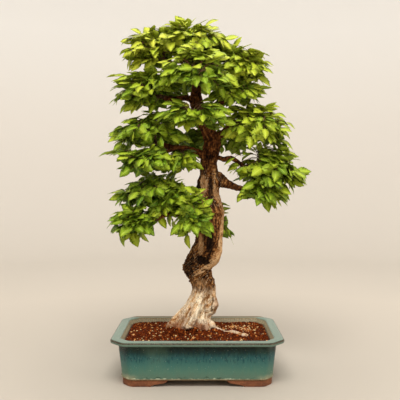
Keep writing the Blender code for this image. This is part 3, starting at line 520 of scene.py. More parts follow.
def leaf_piece(name, leaves, draw, finish):
    """One mesh of all a pad's leaves, with a map along each leaf and one of its tone and side."""
    shapes = leaf_shapes(leaves, draw)
    count, size = shapes.shape[:2]
    faces = []
    for k in range(count):
        faces.extend([tuple(c + k * size for c in f) for f in LEAF_FACES])
    made = mesh_object(name, shapes.reshape(-1, 3), faces, finish)
    u = 0.5 + LEAF_POINTS[LEAF_CORNERS, 1] / 2
    v = LEAF_POINTS[LEAF_CORNERS, 0]
    give_uv(made, "along_leaf", np.tile(np.stack((u, v), -1), (count, 1)))
    tone = np.repeat([leaf[6] for leaf in leaves], len(LEAF_CORNERS))
    give_uv(made, "tone", np.stack((tone, np.tile(LEAF_CORNER_UNDER, count)), -1))
    return made


def pad_tips(pad):
    """Where the shoots of a pad end, spread evenly over its dome, and the level way outward there."""
    name, carrier, centre, halves, droop, count = pad
    root = BRANCH_ENDS[carrier][0]
    start = math.atan2(centre[1] - root[1], centre[0] - root[0]) if carrier != "leader" else 0.0
    tips = []
    for number in range(count):
        turn = start + number * GOLDEN_TURN
        share = (0.12 + number * HEIGHT_STEP) % 1.0
        high = -0.38 + 1.36 * share
        flat = math.sqrt(1 - high * high)
        outward = np.array((math.cos(turn), math.sin(turn), 0.0))
        reach = outward * (halves[0], halves[1], 0) * flat
        tip = np.array(centre, float) + reach + UP * (halves[2] * high - droop * flat * flat)
        tips.append((tip, outward, high))
        if number % 3 == 1:
            inner = np.array(centre, float) + (tip - centre) * (0.5 + 0.3 * share)
            tips.append((inner, outward, high))
    for x, y, z, *way in SHOOTS.get(name, ()):
        tips.append((np.array((x, y, z), float), unit(np.array(way) / 10), None))
    return tips


def best_hook(hooks, ways, end, outward, best, turn_cost):
    """The place on the wood that a twig to this end would best spring from."""
    runs = end - hooks
    lengths = np.linalg.norm(runs, axis=1)
    level = (runs / lengths[:, None]) @ outward
    back = np.clip(-np.einsum("ij,ij->i", runs / lengths[:, None], ways), 0, 1)
    return int(np.argmin(np.abs(lengths - best) + turn_cost * (1 - level) + 40 * back))


def pad_wood(pad, draw, twigs):
    """The stem and side twigs inside a pad. Returns places, ways and radii that shoots may spring from."""
    _, carrier, centre, halves, _, count = pad
    end, before, radius = BRANCH_ENDS[carrier]
    end, before, centre = (np.array(p, float) for p in (end, before, centre))
    heading = unit(end - before)
    middle = centre - UP * halves[2] * 0.3
    run = middle - end
    level = unit(run * (1, 1, 0)) if carrier != "leader" else np.array((1.0, 0, 0))
    beyond = middle + level * min(halves[:2]) * 0.35
    stem = catmull([end - heading * 6, end + heading * np.linalg.norm(run) * 0.3, middle, beyond], 7)
    stem[2:-1] += draw.normal(0, 1.1, (len(stem) - 3, 3))
    radii = np.interp(np.linspace(0, 1, len(stem)), (0, .2, .6, 1), (radius, radius * .8, 2.4, 1.3))
    twigs.add(stem, radii, 7)
    hooks, ways, thick = list(stem[2:]), list(unit(np.gradient(stem, axis=0))[2:]), list(radii[2:])
    for number in range(max(4, count // 4)):
        turn = number * GOLDEN_TURN + 0.8
        high = -0.35 + 1.1 * ((0.3 + number * 0.618) % 1.0)
        flat = math.sqrt(1 - high * high)
        outward = np.array((math.cos(turn), math.sin(turn), 0.0))
        goal = centre + outward * (halves[0], halves[1], 0) * flat * 0.52 + UP * halves[2] * high * 0.5
        near = best_hook(np.array(stem[2:]), np.array(ways[:len(stem) - 2]), goal, outward, 34, 26)
        start = stem[2 + near]
        reach = np.linalg.norm(goal - start)
        if reach < 14:
            continue
        first = start + unit(ways[near] + UP * 0.4 + outward * 0.7) * reach * 0.4
        last = goal - unit(outward + UP * draw.uniform(-0.3, 0.5)) * reach * 0.35
        path = bezier(start, first, last, goal, 8)
        path[1:-1] += draw.normal(0, 0.8, (6, 3))
        size = np.linspace(min(radii[2 + near] * 0.75, 2.2), 1.0, len(path))
        twigs.add(path, size, 5)
        hooks += list(path[2:])
        ways += list(unit(np.gradient(path, axis=0))[2:])
        thick += list(size[2:])
    return np.array(hooks), np.array(ways), np.array(thick)


def in_gap(place):
    x, y, z = place
    return any(west < x < east and low < z < high and y < back for west, east, low, high, back in GAPS)


def leaf_pose(place, head, hand, high, young, centre, halves, draw):
    """Foot, way, face normal and length of one leaf at a place on a shoot."""
    side = unit(np.cross(head, UP) + draw.normal(0, 0.12, 3))
    angle = draw.uniform(0.78, 1.2) * hand + draw.normal(0, 0.12)
    way = head * math.cos(angle) + side * math.sin(angle)
    way = unit(way - UP * draw.uniform(-0.05, 0.45) * (1.1 - 0.6 * high) + draw.normal(0, 0.12, 3))
    outer = unit((place + head * 20 - centre) / halves ** 2 * halves.min())
    away = unit((place - TREE_AXIS) * (0.7, 1, 0))
    tilt = 0.5 - 0.14 * smooth_step(560, 690, place[2])
    face = UP * 0.7 + outer * 0.6 + away * tilt + draw.normal(0, 0.24, 3)
    face = face - (0, 0.26 * smooth_step(60, 0, place[1]), 0)
    face = unit(face - way * np.dot(face, way))
    length = draw.uniform(*LEAF_LENGTHS) * (1.0 if young else 0.86)
    return place + way * 4.0 - UP * 0.8, way, face, length


def leaf_tone(place, share, high, draw):
    """How pale a leaf is: young ones towards the shoot tips are paler; higher leaves, the tops of the pads
    and the crown's top are painted paler as if lit from above, and the slopes and patches paint light and
    shade on some parts of the tree.
    """
    x, _, z = place
    # Painted light from above: paler with the shoot's height on its pad, with height in the tree and most
    # at the crown's top; paler towards the shoot tips, where leaves are young.
    tone = 0.28 + 0.26 * share + 0.18 * max(high, -0.2) + 0.12 * (z - 300) / 520
    tone += 0.20 * smooth_step(660, 780, z) + draw.normal(0, 0.075)
    # Painted light and shade on some parts of the tree.
    for amount, x_from, x_to, z_from, z_to in TONE_SLOPES:
        tone += amount * smooth_step(x_from, x_to, x) * smooth_step(z_from, z_to, z)
    for amount, middle_x, middle_z, reach_x, reach_z in TONE_PATCHES:
        tone += amount * math.exp(-((x - middle_x) / reach_x) ** 2 - ((z - middle_z) / reach_z) ** 2)
    return np.clip(tone, 0, 0.96)


def shoot_path(tip, outward, high, hooks, ways, draw):
    """Where a shoot runs, which hook it springs from and how high it is. Nothing if it is too short."""
    if high is None:
        last_way, high = outward, 0.8
        outward = unit(outward * (1, 1, 0.2))
    else:
        tip = tip + draw.normal(0, 2.5, 3)
        sag = 0.38 * (1 - high) * draw.uniform(0.3, 1.4)
        last_way = unit(outward - UP * sag + UP * 0.5 * max(high, 0) + draw.normal(0, 0.12, 3))
    end = tip - last_way * draw.uniform(*SHOOT_LENGTHS)
    spot = best_hook(hooks, ways, end, outward, 50, 36)
    start = hooks[spot]
    reach = float(np.linalg.norm(end - start))
    if reach < SHORTEST_SHOOT:
        return None
    first = start + unit(ways[spot] * 0.7 + UP * 0.5 + outward * 0.6) * reach * 0.35
    path = bezier(start, first, end - last_way * reach * 0.45, end, 8)
    path[1:-1] += draw.normal(0, 0.5, (6, 3))
    return path, spot, high


def grow_shoot(path, girth, high, centre, halves, wood_tree, draw, twigs):
    """The leaves of one shoot. Its twig and their stalks go to the twigs."""
    arc = np.concatenate(([0], np.cumsum(np.linalg.norm(np.diff(path, axis=0), axis=1))))
    heads = unit(np.gradient(path, axis=0))
    pitch = draw.uniform(*LEAF_PITCHES)
    steps = min(9, max(3, 1 + int((arc[-1] - 2) / pitch)))
    leaves, last_place, grown = [], None, 0.0
    for k in range(steps):
        back = arc[-1] - (steps - 1 - k) * pitch
        place = np.array([np.interp(back, arc, path[:, c]) for c in range(3)])
        head = unit(np.array([np.interp(back, arc, heads[:, c]) for c in range(3)]))
        hand = 0 if k == steps - 1 else (1 if k % 2 else -1)
        foot, way, face, length = leaf_pose(place, head, hand, high, k >= steps - 3, centre, halves, draw)
        middle = foot + way * length * 0.5
        if in_gap(middle) or wood_tree.find_nearest(Vector(middle))[3] < LEAF_TO_WOOD:
            continue
        tone = leaf_tone(place, k / steps, high, draw)
        width = length * draw.uniform(0.57, 0.70)
        leaves.append((foot, way, face, length, width, draw.uniform(0.05, 0.6), tone))
        twigs.add([place, foot + way * 0.6], (0.5, 0.38), 3)
        last_place, grown = place, back
    if leaves:
        line = np.array([*path[arc < grown - 0.01], last_place])
        twigs.add(line, np.linspace(min(girth * 0.8, 1.3), 0.55, 8)[:len(line)], 4)
    return leaves


def pad_foliage(pad, number, wood_tree, leaf_look, twig_look):
    """The twigs and leaves of one pad, as two pieces that stand for its spray."""
    draw = np.random.default_rng(500 + number)
    name, _, centre, halves, _, _ = pad
    centre, halves = np.array(centre, float), np.array(halves, float)
    twigs = Tubes()
    hooks, ways, thick = pad_wood(pad, draw, twigs)
    leaves = []
    for tip in pad_tips(pad):
        shoot = shoot_path(*tip, hooks, ways, draw)
        if shoot is not None:
            path, spot, high = shoot
            leaves += grow_shoot(path, thick[spot], high, centre, halves, wood_tree, draw, twigs)
    leaf_mesh = leaf_piece("leaves_" + name, leaves, draw, leaf_look)
    twig_mesh = mesh_object("twigs_" + name, twigs.points, twigs.faces, twig_look)
    for made, slot in ((leaf_mesh, "leaf"), (twig_mesh, "bark")):
        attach(made, "root")
        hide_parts("spray_" + name.removesuffix("_inner"))


def leaf_material():
    """Hornbeam leaf: yellow-green to deep green, pale midrib and veins, a painted highlight along the
    margin, paler underneath.
    """
    look = Look("hornbeam_leaf")
    sideways, along, _ = look.split(look.uv("along_leaf"))
    tone, under, _ = look.split(look.uv("tone"))
    across = abs(sideways * 2.0 - 1.0)
    shade = tone + look.noise(look.place(), 55.0, 3.0) * 0.36 - 0.18
    base = look.ramp(shade, (0.0, 30, 62, 7), (0.25, 78, 117, 15), (0.48, 132, 162, 29),
                     (0.72, 170, 186, 41), (1.0, 195, 200, 58))
    # Painted highlight: a pale yellow-green rim along the leaf's margin.
    base = look.mix(across.step(0.72, 1.0) * 0.5, base, (200, 212, 78))
    wave = look.maths("PINGPONG", (across * -0.2 + along) * 12.0, 0.5)
    vein = wave.step(0.09, 0.0) * across.step(1.0, 0.8)
    rib = across.step(0.11, 0.03)
    base = look.mix(look.maths("MAXIMUM", vein * 0.14, rib * 0.5), base, (196, 206, 84))
    base = look.mix(under * 0.425, base, (132, 158, 60))
    height = wave * 1.2 - rib * 0.7
    return look.finish(Base_Color=base, Roughness=under * 0.25 + 0.45,
                       Normal=look.bump(height, 0.55, 0.7), Specular_IOR_Level=0.25)


def twig_material():
    look = Look("hornbeam_twig")
    grain = look.noise(look.stretched(look.place(), 0.5), 320.0, 4.0)
    colour = look.ramp(grain, (0.3, 62, 38, 24), (0.5, 98, 66, 42), (0.72, 134, 98, 64))
    return look.finish(Base_Color=colour, Roughness=0.8, Normal=look.bump(grain, 0.4, 0.5))


# The trunk

TWIST = np.array((
    (90, 2.9), (190, 2.85), (212, 2.57), (224, 2.02), (238, 1.27), (249, 0.85), (264, 0.56),
    (285, 0.33), (312, 0.26), (368, 0.17), (392, 0.31), (414, 0.70), (438, 1.05), (560, 1.4),
    (740, 1.9),
))
# Patches on the wood: centre, half sizes, and how strong the patch or how high the knob is
# Hollows and darker patches of bark; the bark's material paints near-black shade into the hollows
DARK_SPOTS = np.array((
    (12, -22, 262, 17, 28, 11, 1), (-17, -24, 241, 8, 12, 12, 1), (29, -20, 304, 10, 22, 30, 0.95),
    (31, -14, 432, 6, 16, 34, 0.9), (-27, -8, 256, 19, 28, 46, 0.76), (24, -14, 345, 12, 20, 40, 0.5),
    (47, -8, 150, 16, 22, 26, 0.42), (-30, -20, 130, 26, 26, 20, 0.3), (24, -20, 180, 14, 16, 22, 0.35),
    (-4, -20, 196, 22, 14, 10, 0.4), (-27, -8, 222, 8, 12, 12, 0.9), (18, -26, 240, 8, 12, 3, 0.8),
    (45, -12, 180, 4, 12, 9, 0.8), (38, -18, 206, 5, 12, 10, 0.9), (44, -10, 131, 12, 22, 6, 0.9),
    (-1, -8, 434, 7, 22, 17, 0.95), (8, -22, 197, 5, 10, 5, 0.9), (56, -2, 428, 9, 14, 4, 0.7),
    (24, -10, 500, 14, 14, 7, 0.8), (20, -8, 545, 20, 18, 8, 0.5), (18, -14, 142, 2.6, 14, 24, 0.5),
    (-18, -20, 128, 2.6, 14, 16, 0.6), (33, -20, 150, 3.4, 14, 18, 0.85), (36, -17, 172, 3.4, 12, 10, 0.8),
    (26, -24, 200, 3, 10, 12, 0.6), (4, -26, 212, 7, 10, 3, 0.7), (-17, -20, 106, 5, 16, 8, 0.9),
    (12, -18, 104, 5, 14, 7, 0.8), (-36, -14, 138, 3, 16, 16, 0.5),
))
PALE_SPOTS = np.array((
    (7, -24, 298, 7, 16, 24, 1), (12, -16, 442, 8, 14, 34, 0.9), (20, -14, 437, 3, 10, 14, 1),
    (-4, -30, 246, 8, 8, 3, 0.7), (2, -18, 206, 24, 20, 15, 0.6), (16, -18, 352, 6, 12, 26, 0.6),
    (7, -30, 140, 12, 26, 25, 1), (-11, -34, 118, 10, 22, 18, 0.6), (0, -22, 176, 12, 16, 13, 0.8),
))
RUSTY_SPOTS = np.array((
    (50, -6, 156, 13, 22, 24, 0.75), (-42, -18, 124, 20, 26, 16, 0.5), (-16, -22, 150, 5, 16, 18, 0.35),
    (-48, -12, 108, 14, 22, 10, 0.8), (-8, -18, 116, 11, 18, 15, 0.95), (24, -14, 108, 8, 18, 8, 0.7),
    (2, -18, 108, 18, 18, 9, 0.9),
))
SURFACE_ROOT = np.array((
    (42, 4, 104.5), (58, -3, 99.5), (78, -13, 95.5), (98, -23, 93.4), (116, -33, 92.4),
))
KNOB_SPOTS = np.array((
    (33, -10, 520, 9, 10, 10, 3), (52, -2, 446, 18, 20, 19, 9.5), (45, 0, 464, 12, 18, 18, 4),
    (70, -5, 438, 18, 14, 12, 4), (92, -6, 432, 16, 12, 12, 2), (6, 2, 486, 10, 14, 24, 3),
    (104, -27, 94, 13, 9, 8, 1.6), (1, 0, 437, 7, 12, 16, 2), (12, -8, 562, 9, 10, 10, 2),
    (46, -2, 157, 8, 14, 16, 1.5), (22, -16, 392, 10, 10, 12, 1.5), (20, -14, 470, 6, 8, 8, 1.5),
    (-24, -14, 236, 9, 10, 9, 1.5),
))


def centre_at(heights):
    """Centre and half sizes of the trunk at each height."""
    return [np.interp(heights, STATIONS[:, 0], STATIONS[:, k]) for k in range(1, 5)]


def distance_to_path(points, path):
    """How far each point is from a line of points, and where along it the nearest place is (0 to 1)."""
    best = np.full(len(points), 1e9)
    where = np.zeros(len(points))
    for k, (a, b) in enumerate(zip(path, path[1:])):
        run = b - a
        t = np.clip((points - a) @ run / (run @ run), 0, 1)
        gap = np.linalg.norm(points - (a + t[:, None] * run), axis=1)
        nearer = gap < best
        best = np.where(nearer, gap, best)
        where = np.where(nearer, (k + t) / (len(path) - 1), where)
    return best, where


def noise_at(points, scale):
    """Smooth noise at each point, about -1 to 1."""
    return np.array([noise.noise(Vector(p)) for p in points / scale])


def ridges_at(points, scale, layers=3):
    """Noise with sharp crests at each point, about -1 to 1."""
    return np.array([noise.ridged_multi_fractal(Vector(p), 1.0, 2.1, layers, 1.0, 2.0)
                     for p in points / scale]) - 1.0


def spots(points, places, wander):
    """How much each point belongs to the patches, with ragged edges."""
    share = np.zeros(len(points))
    for row in places:
        away = np.linalg.norm((points - row[:3]) / row[3:6], axis=1) + wander
        share = np.maximum(share, row[6] * smooth_step(1.25, 0.75, away))
    return share


def wood_mesh(finish):
    """The tree's solid as one even, rounded mesh."""
    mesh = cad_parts["trunk"].data.copy()
    mesh.name = "trunk_bark"
    mesh.materials.clear()
    mesh.materials.append(finish)
    made = add_object("trunk_bark", mesh)
    weld = made.modifiers.new("weld", "WELD")
    weld.merge_threshold = 1e-5
    remesh = made.modifiers.new("remesh", "REMESH")
    remesh.mode = "VOXEL"
    remesh.voxel_size = 1.65 * MM
    ease = made.modifiers.new("ease", "SMOOTH")
    ease.factor = 0.5
    ease.iterations = 14
    graph = bpy.context.evaluated_depsgraph_get()
    made.data = bpy.data.meshes.new_from_object(made.evaluated_get(graph))
    made.modifiers.clear()
    return made


def points_of(mesh, what):
    values = np.empty(len(mesh.vertices) * 3)
    mesh.vertices.foreach_get(what, values)
    return values.reshape(-1, 3)


def press_ribbon(co, ribbon_gap):
    """Draws the ribbon's lower end in, so that it lies flat on the trunk's front."""
    cx, cy, rx, ry = centre_at(co[:, 2])
    radial = np.hypot((co[:, 0] - cx) / rx, (co[:, 1] - cy) / ry)
    flatten = smooth_step(2.2, 1.4, ribbon_gap) * smooth_step(44, 22, co[:, 0])
    flatten *= smooth_step(276, 258, co[:, 2])
    shrink = 1 - flatten * 0.72 * np.clip(radial - 1.02, 0, 1) / np.maximum(radial, 0.1)
    co[:, 0] = cx + (co[:, 0] - cx) * shrink
    co[:, 1] = cy + (co[:, 1] - cy) * shrink


def ribbon_share(co, dy, path, width, wander):
    """How much each point belongs to the ribbon of live bark."""
    z = co[:, 2]
    low_end = smooth_step(292, 276, z)
    pressed = np.stack((co[:, 0], co[:, 1] * (1 - 0.75 * low_end), z), -1)
    press = path[:, :3].copy()
    press[:, 1] *= 1 - 0.75 * smooth_step(292, 276, press[:, 2])
    gap = distance_to_path(pressed, press)[0] + 16 * low_end * smooth_step(-4, 8, dy)
    ribbon = gap / width + 0.5 * wander + 0.22 * smooth_step(262, 236, z)
    return smooth_step(1.3, 1.0, ribbon) * smooth_step(218, 234, z)


def shape_root(co, shift, lump):
    """Sinks the surface root where it leaves the trunk, and rounds its far end."""
    far_root = distance_to_path(co, SURFACE_ROOT)[0] < 14
    sunk = far_root * smooth_step(36, 48, co[:, 0]) * smooth_step(82, 62, co[:, 0])
    shift -= sunk * 3.4
    shift += far_root * smooth_step(66, 84, co[:, 0]) * (1.3 + 0.8 * lump)
    co[:, 2] -= sunk * 4.5
    co[:, 1] -= far_root * smooth_step(56, 104, co[:, 0]) * 5


def build_trunk(bark_look):
    """The tree's wood: the solid's own form with flutes, twisted grain, plates of bark and hollows."""
    made = wood_mesh(bark_look)
    mesh = made.data
    co = points_of(mesh, "co") / MM - MIDDLE
    vein_path = catmull(LIVE_VEIN, 5)
    vein_gap, vein_at = distance_to_path(co, vein_path[:, :3])
    vein_size = np.interp(vein_at, np.linspace(0, 1, len(vein_path)), vein_path[:, 3])
    press_ribbon(co, vein_gap / vein_size)
    mesh.vertices.foreach_set("co", ((co + MIDDLE) * MM).ravel())
    mesh.update()
    normal = points_of(mesh, "normal")

    # The grain runs up the trunk and turns with it
    z = co[:, 2]
    cx, cy, rx, ry = centre_at(z)
    dx, dy = co[:, 0] - cx, co[:, 1] - cy
    radial = np.hypot(dx / rx, dy / ry)
    on_trunk = np.clip(smooth_step(1.75, 1.25, radial) + (z < 190), 0, 1)
    swung = np.arctan2(dy, dx) + np.interp(z, TWIST[:, 0], TWIST[:, 1])
    along = np.stack((np.cos(swung) * TRUNK_GIRTH, np.sin(swung) * TRUNK_GIRTH, z * 0.2), -1)
    warp = np.stack([noise_at(co + offset, 24.0) for offset in (0, 71, 143)], -1)
    grain = along * on_trunk[:, None] + co * (1 - on_trunk)[:, None] + warp * 5.0

    flute = noise_at(grain, 15.0)
    furrow = ridges_at(grain, 8.0)
    gully = ridges_at(grain + 90, 13.0, 2)
    plate = ridges_at(co + warp * 6, 9.0, 2)
    lump = noise_at(co, 13.0)
    rough = noise_at(co + warp * 3, 4.2)
    tongue = noise_at(grain + 40, 9.0)
    pale = smooth_step(203, 184, z + 10 * tongue)
    swirl = smooth_step(180, 205, z) * smooth_step(285, 250, z) * on_trunk
    wander = 0.28 * noise_at(co + 33, 6.0) + 0.16 * rough
    dark = spots(co, DARK_SPOTS, wander)
    light = spots(co, PALE_SPOTS, wander) * (1 - dark)
    vein = ribbon_share(co, dy, vein_path, vein_size, wander) * (1 - pale) * (1 - 0.85 * dark)
    worn = smooth_step(372, 396, z) * 0.75

    # How far each point moves outward
    calm = (1 - 0.8 * vein * (1 - worn)) * (1 - 0.45 * light)
    shift = on_trunk * flute * np.interp(z, (90, 120, 200, 300, 560, 660), (2.2, 2.6, 1.4, 1.8, 1.4, 0.8))
    shift += on_trunk * gully * pale * 2.5
    shift += calm * furrow * (0.4 + 0.6 * on_trunk) * (1.25 + 0.9 * swirl - 0.25 * pale)
    shift += calm * (1 - pale) * (1.25 * plate + 1.15 * rough) * np.interp(radial, (1.2, 2.5), (1.0, 0.4))
    shift += pale * rough * 0.5 + on_trunk * lump * 1.4 * (1 - pale * 0.5)
    for row in KNOB_SPOTS:
        away = np.linalg.norm((co - row[:3]) / row[3:6], axis=1)
        shift += row[6] * smooth_step(1.3, 0.2, away)
    shift += 0.9 * (1 - on_trunk)
    shift -= dark * 3.4 * on_trunk
    shape_root(co, shift, lump)
    shift *= smooth_step(80, 92, z)
    mesh.vertices.foreach_set("co", ((co + normal * shift[:, None] + MIDDLE) * MM).ravel())
    mesh.polygons.foreach_set("use_smooth", [True] * len(mesh.polygons))

    # What the bark's material reads
    relief = 0.5 + 0.26 * furrow * on_trunk + 0.16 * plate + 0.22 * rough + 0.14 * flute
    relief += 0.2 * gully * pale
    flecked = swirl + smooth_step(380, 400, z) * smooth_step(480, 455, z)
    flecked += smooth_step(2, -12, co[:, 0]) * smooth_step(330, 300, z)
    give_number(made, "relief", np.clip(relief, 0, 1))
    give_number(made, "pale", pale)
    give_number(made, "vein", vein * (1 - 0.6 * worn))
    give_number(made, "dark", dark)
    give_number(made, "light", light)
    give_number(made, "rust", spots(co, RUSTY_SPOTS, wander))
    give_number(made, "flecked", np.clip(flecked * on_trunk, 0, 1))
    layer = mesh.attributes.new("grain", "FLOAT_VECTOR", "POINT")
    layer.data.foreach_set("vector", grain.astype(np.float32).ravel())
    mesh.update()
    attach(made, "root")
    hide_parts("trunk")
    return made


def bark_material():
    """Dark, cracked bark above, bleached and stained wood below, and a pale ribbon between them."""
    look = Look("hornbeam_bark")
    place = look.place()
    grain = look.read("grain", "Vector")
    relief, pale, vein, dark, light, rust, flecked = [
        look.read(name) for name in ("relief", "pale", "vein", "dark", "light", "rust", "flecked")]
    x, _, rise = look.split(place)
    strands = look.noise(grain, 0.17, 6.0, 0.66, 0.7)
    fibres = look.noise(grain, 0.75, 4.0, 0.6, 0.3)
    fine = look.noise(place, 420.0, 5.0, 0.65)
    patch = look.noise(place, 48.0, 4.0, 0.6, 0.6)
    detail = strands * 0.55 + fibres * 0.25 + fine * 0.2
    depth = (relief * 0.55 + detail * 0.75) * 1.5 - 0.475

    # Cracks and splits follow the grain, each in its own places
    gate = look.noise(place, 62.0, 3.0, 0.6)
    crack = abs(look.noise(look.stretched(grain, 0.8), 0.13, 5.0, 0.62, 0.6) - 0.5)
    crack = crack.step(0.026, 0.006) * gate.step(0.42, 0.56)
    split_line = abs(look.noise(look.stretched(grain, 1.3), 0.34, 4.0, 0.6, 0.5) - 0.5)
    split_line = split_line.step(0.034, 0.008) * gate.step(0.56, 0.44)

    # Cells along the grain give pale flecks and dark chips
    jitter = look.put("TexNoise", {"Vector": place, "Scale": 190.0}, 1)
    jitter = look.put("VectorMath", {0: jitter, 3: 3.2}, operation="SCALE")
    spread = look.put("VectorMath", {0: look.stretched(grain, 2.8), 1: jitter}, operation="ADD")
    gap, cell_colour, *_ = look.outputs(look.put("TexVoronoi", {"Vector": spread, "Scale": 0.36}))
    pick = look.put("SeparateColor", {0: cell_colour})
    fleck = pick.step(0.68, 0.76) * gap.step(0.52, 0.3) * flecked
    chip = pick.step(0.26, 0.18) * gap.step(0.55, 0.2)

    bark = look.ramp(depth, (0.20, 16, 7, 3), (0.38, 48, 24, 9), (0.50, 90, 53, 23),
                     (0.62, 148, 98, 50), (0.80, 214, 172, 114))
    red_bark = look.ramp(depth, (0.20, 18, 7, 3), (0.40, 54, 26, 10), (0.54, 98, 55, 24),
                         (0.68, 142, 90, 44), (0.86, 188, 136, 82))
    bark = look.mix(rise.step(0.44, 0.52), bark, red_bark)

    wood = look.ramp(detail * 1.2 + relief * 0.6 - 0.38, (0.20, 50, 26, 10), (0.30, 126, 80, 42),
                     (0.37, 214, 166, 114), (0.45, 250, 216, 170), (0.56, 255, 241, 213))
    streaks = look.noise(look.stretched(grain, 0.6), 0.085, 4.0, 0.6, 0.4)
    stain = (patch * 0.35 + streaks * 0.65).step(0.52, 0.62)
    wood = look.mix(stain * 0.3, wood, (118, 72, 36))
    wood = look.mix(rust * 0.72, wood, (150, 92, 50), "MULTIPLY")
    wood = look.mix(crack * 0.9, wood, (66, 34, 14))
    wood = look.mix(split_line * 0.85, wood, (92, 52, 24))
    warm, bleached = look.mix(0.24, wood, (178, 122, 66)), look.mix(0.22, wood, (248, 232, 198))
    wood = look.mix(light.step(0.1, 0.7), warm, bleached)
    wood = look.mix(rise.step(0.158, 0.200) * 0.2475, wood, (140, 94, 58))
    wood = look.mix(chip * 0.5, wood, (104, 54, 28))

    tan = look.ramp(fibres * 0.5 + strands * 0.5, (0.34, 88, 50, 24), (0.45, 160, 114, 70),
                    (0.60, 214, 176, 130))
    colour = look.mix(light * 0.8, bark, tan)
    colour = look.mix(vein, colour, tan)
    colour = look.mix(crack * 0.6, colour, (26, 12, 6))
    colour = look.mix(chip * 0.7, colour, (30, 14, 7))
    colour = look.mix(fleck * 0.7, colour, (206, 178, 142))
    colour = look.mix(pale, colour, wood)

    # Hollows, and the deep places in darker patches, are painted near-black shade; the foot is stained by
    # the soil
    pit = look.maths("MAXIMUM", depth.step(0.70, 0.42) * dark, dark.step(0.5, 1.0))
    colour = look.mix(pit * 0.93, colour, (18, 8, 4))
    near_trunk = x.step(0.022, -0.008) * 0.62 + 0.38
    soiled = (patch * 0.060 + rise).step(0.157, 0.131) * 0.88 * near_trunk
    colour = look.mix(soiled * 0.74, colour, (122, 62, 32))
    height = fine + fibres * 0.8 + fleck * 0.5
    return look.finish(Base_Color=colour, Roughness=0.9, Normal=look.bump(height, 0.9, 1.6),
                       Specular_IOR_Level=0.12)


# The pot

POT_LENGTH, POT_DEPTH = 380.0, 275.0
CORNER_CUT_X, CORNER_CUT_Y = 30.0, 34.0
CORNER_ROUNDING = 8.5
POT_PROFILE = (
    # inset, height, how bare the clay is there
    (34, 14, 1), (27, 14, 1), (24.2, 14.8, 1), (22.8, 16.8, 0.7), (22.5, 19.5, 0.2), (22.9, 24, 0),
    (22.4, 34, 0), (20.8, 48, 0), (19.1, 62, 0), (17.7, 75, 0), (17, 83, 0), (16.2, 87.5, 0),
    (14.2, 90.6, 0), (10.5, 92.3, 0), (6, 92.6, 0.1), (2.6, 92.9, 0.1), (0.9, 93.8, 0.25),
    (0.15, 95.4, 0.1), (0, 97.2, -0.3), (0.2, 99.2, -0.75), (1, 100.8, -0.85), (2.6, 101.7, -0.15),
    (5, 102, 0), (12, 102, 0), (18.4, 102, 0.1), (20.6, 101.5, 0.3), (21.8, 100.4, 0.6), (22.4, 98.6, 0.7),
    (23.6, 96, 0.7), (25.6, 93.4, 0.7), (27.1, 90, 0.6), (28.4, 76, 0.7), (30, 50, 0.9), (32, 31, 1),
    (34.4, 25.6, 1), (39, 24, 1), (60, 24, 1),
)
# The feet's ring: inset and height. Then the stepped opening between two feet: half width and height
FOOT_SECTION = (
    (27.8, 0), (26.4, 0.5), (25.8, 2.2), (25.6, 8), (25.6, 16), (44, 16), (44, 1), (43.2, 0),
)
FOOT_STEP = (
    (102, 0), (99.6, 1.9), (96, 3.4), (91.5, 4.9), (84.5, 6), (77.5, 7), (71, 8.4), (67, 10.6),
    (64.4, 13.2), (63.6, 14.6),
)


def toward(here, other):
    """Where a corner's rounding ends on its way to another corner."""
    way = other - here
    size = np.linalg.norm(way)
    return here + way / size * min(CORNER_ROUNDING, size * 0.42)


def pot_outline(inset):
    """The pot's outline at a distance in from its lip's edge: a rectangle with cut, softened corners."""
    half_x, half_y = POT_LENGTH / 2 - inset, POT_DEPTH / 2 - inset
    cut_x, cut_y = CORNER_CUT_X - inset * 0.45, CORNER_CUT_Y - inset * 0.45
    corners = []
    for sx, sy in ((1, 1), (-1, 1), (-1, -1), (1, -1)):
        pair = [(sx * half_x, sy * (half_y - cut_y)), (sx * (half_x - cut_x), sy * half_y)]
        corners += pair if sx * sy > 0 else pair[::-1]
    corners = [np.array(c) for c in corners]
    points = []
    t = np.linspace(0, 1, 7)[:, None]
    for k, here in enumerate(corners):
        onward = corners[(k + 1) % len(corners)]
        first, last = toward(here, corners[k - 1]), toward(here, onward)
        points.extend(first * (1 - t) ** 2 + 2 * here * t * (1 - t) + last * t ** 2)
        target = toward(onward, here)
        pieces = 9 if np.linalg.norm(onward - here) > 60 else 2
        points.extend(last + (target - last) * step / pieces for step in range(1, pieces))
    return np.array(points)


def cut_with(made, cutters):
    """Takes the cutters away from a piece, and removes them."""
    for cutter in cutters:
        change = made.modifiers.new("cut", "BOOLEAN")
        change.operation = "DIFFERENCE"
        change.object = cutter
        change.solver = "EXACT"
    graph = bpy.context.evaluated_depsgraph_get()
    mesh = bpy.data.meshes.new_from_object(made.evaluated_get(graph))
    made.modifiers.clear()
    made.data = mesh
    for cutter in cutters:
        bpy.data.objects.remove(cutter)


def prism(name, section, low, high, axis):
    """A straight bar with the section's points, along an axis, for cutting with."""
    places = {"x": lambda p, e: (e, p[0], p[1]), "y": lambda p, e: (p[0], e, p[1]),
              "z": lambda p, e: (p[0], p[1], e)}[axis]
    count = len(section)
    points = [places(p, end) for end in (low, high) for p in section]
    faces = [(k, (k + 1) % count, count + (k + 1) % count, count + k) for k in range(count)]
    faces += [tuple(reversed(range(count))), tuple(range(count, 2 * count))]
    made = mesh_object(name, points, faces, None, smooth=False)
    build = bmesh.new()
    build.from_mesh(made.data)
    bmesh.ops.recalc_face_normals(build, faces=build.faces)
    build.to_mesh(made.data)
    build.free()
    return made


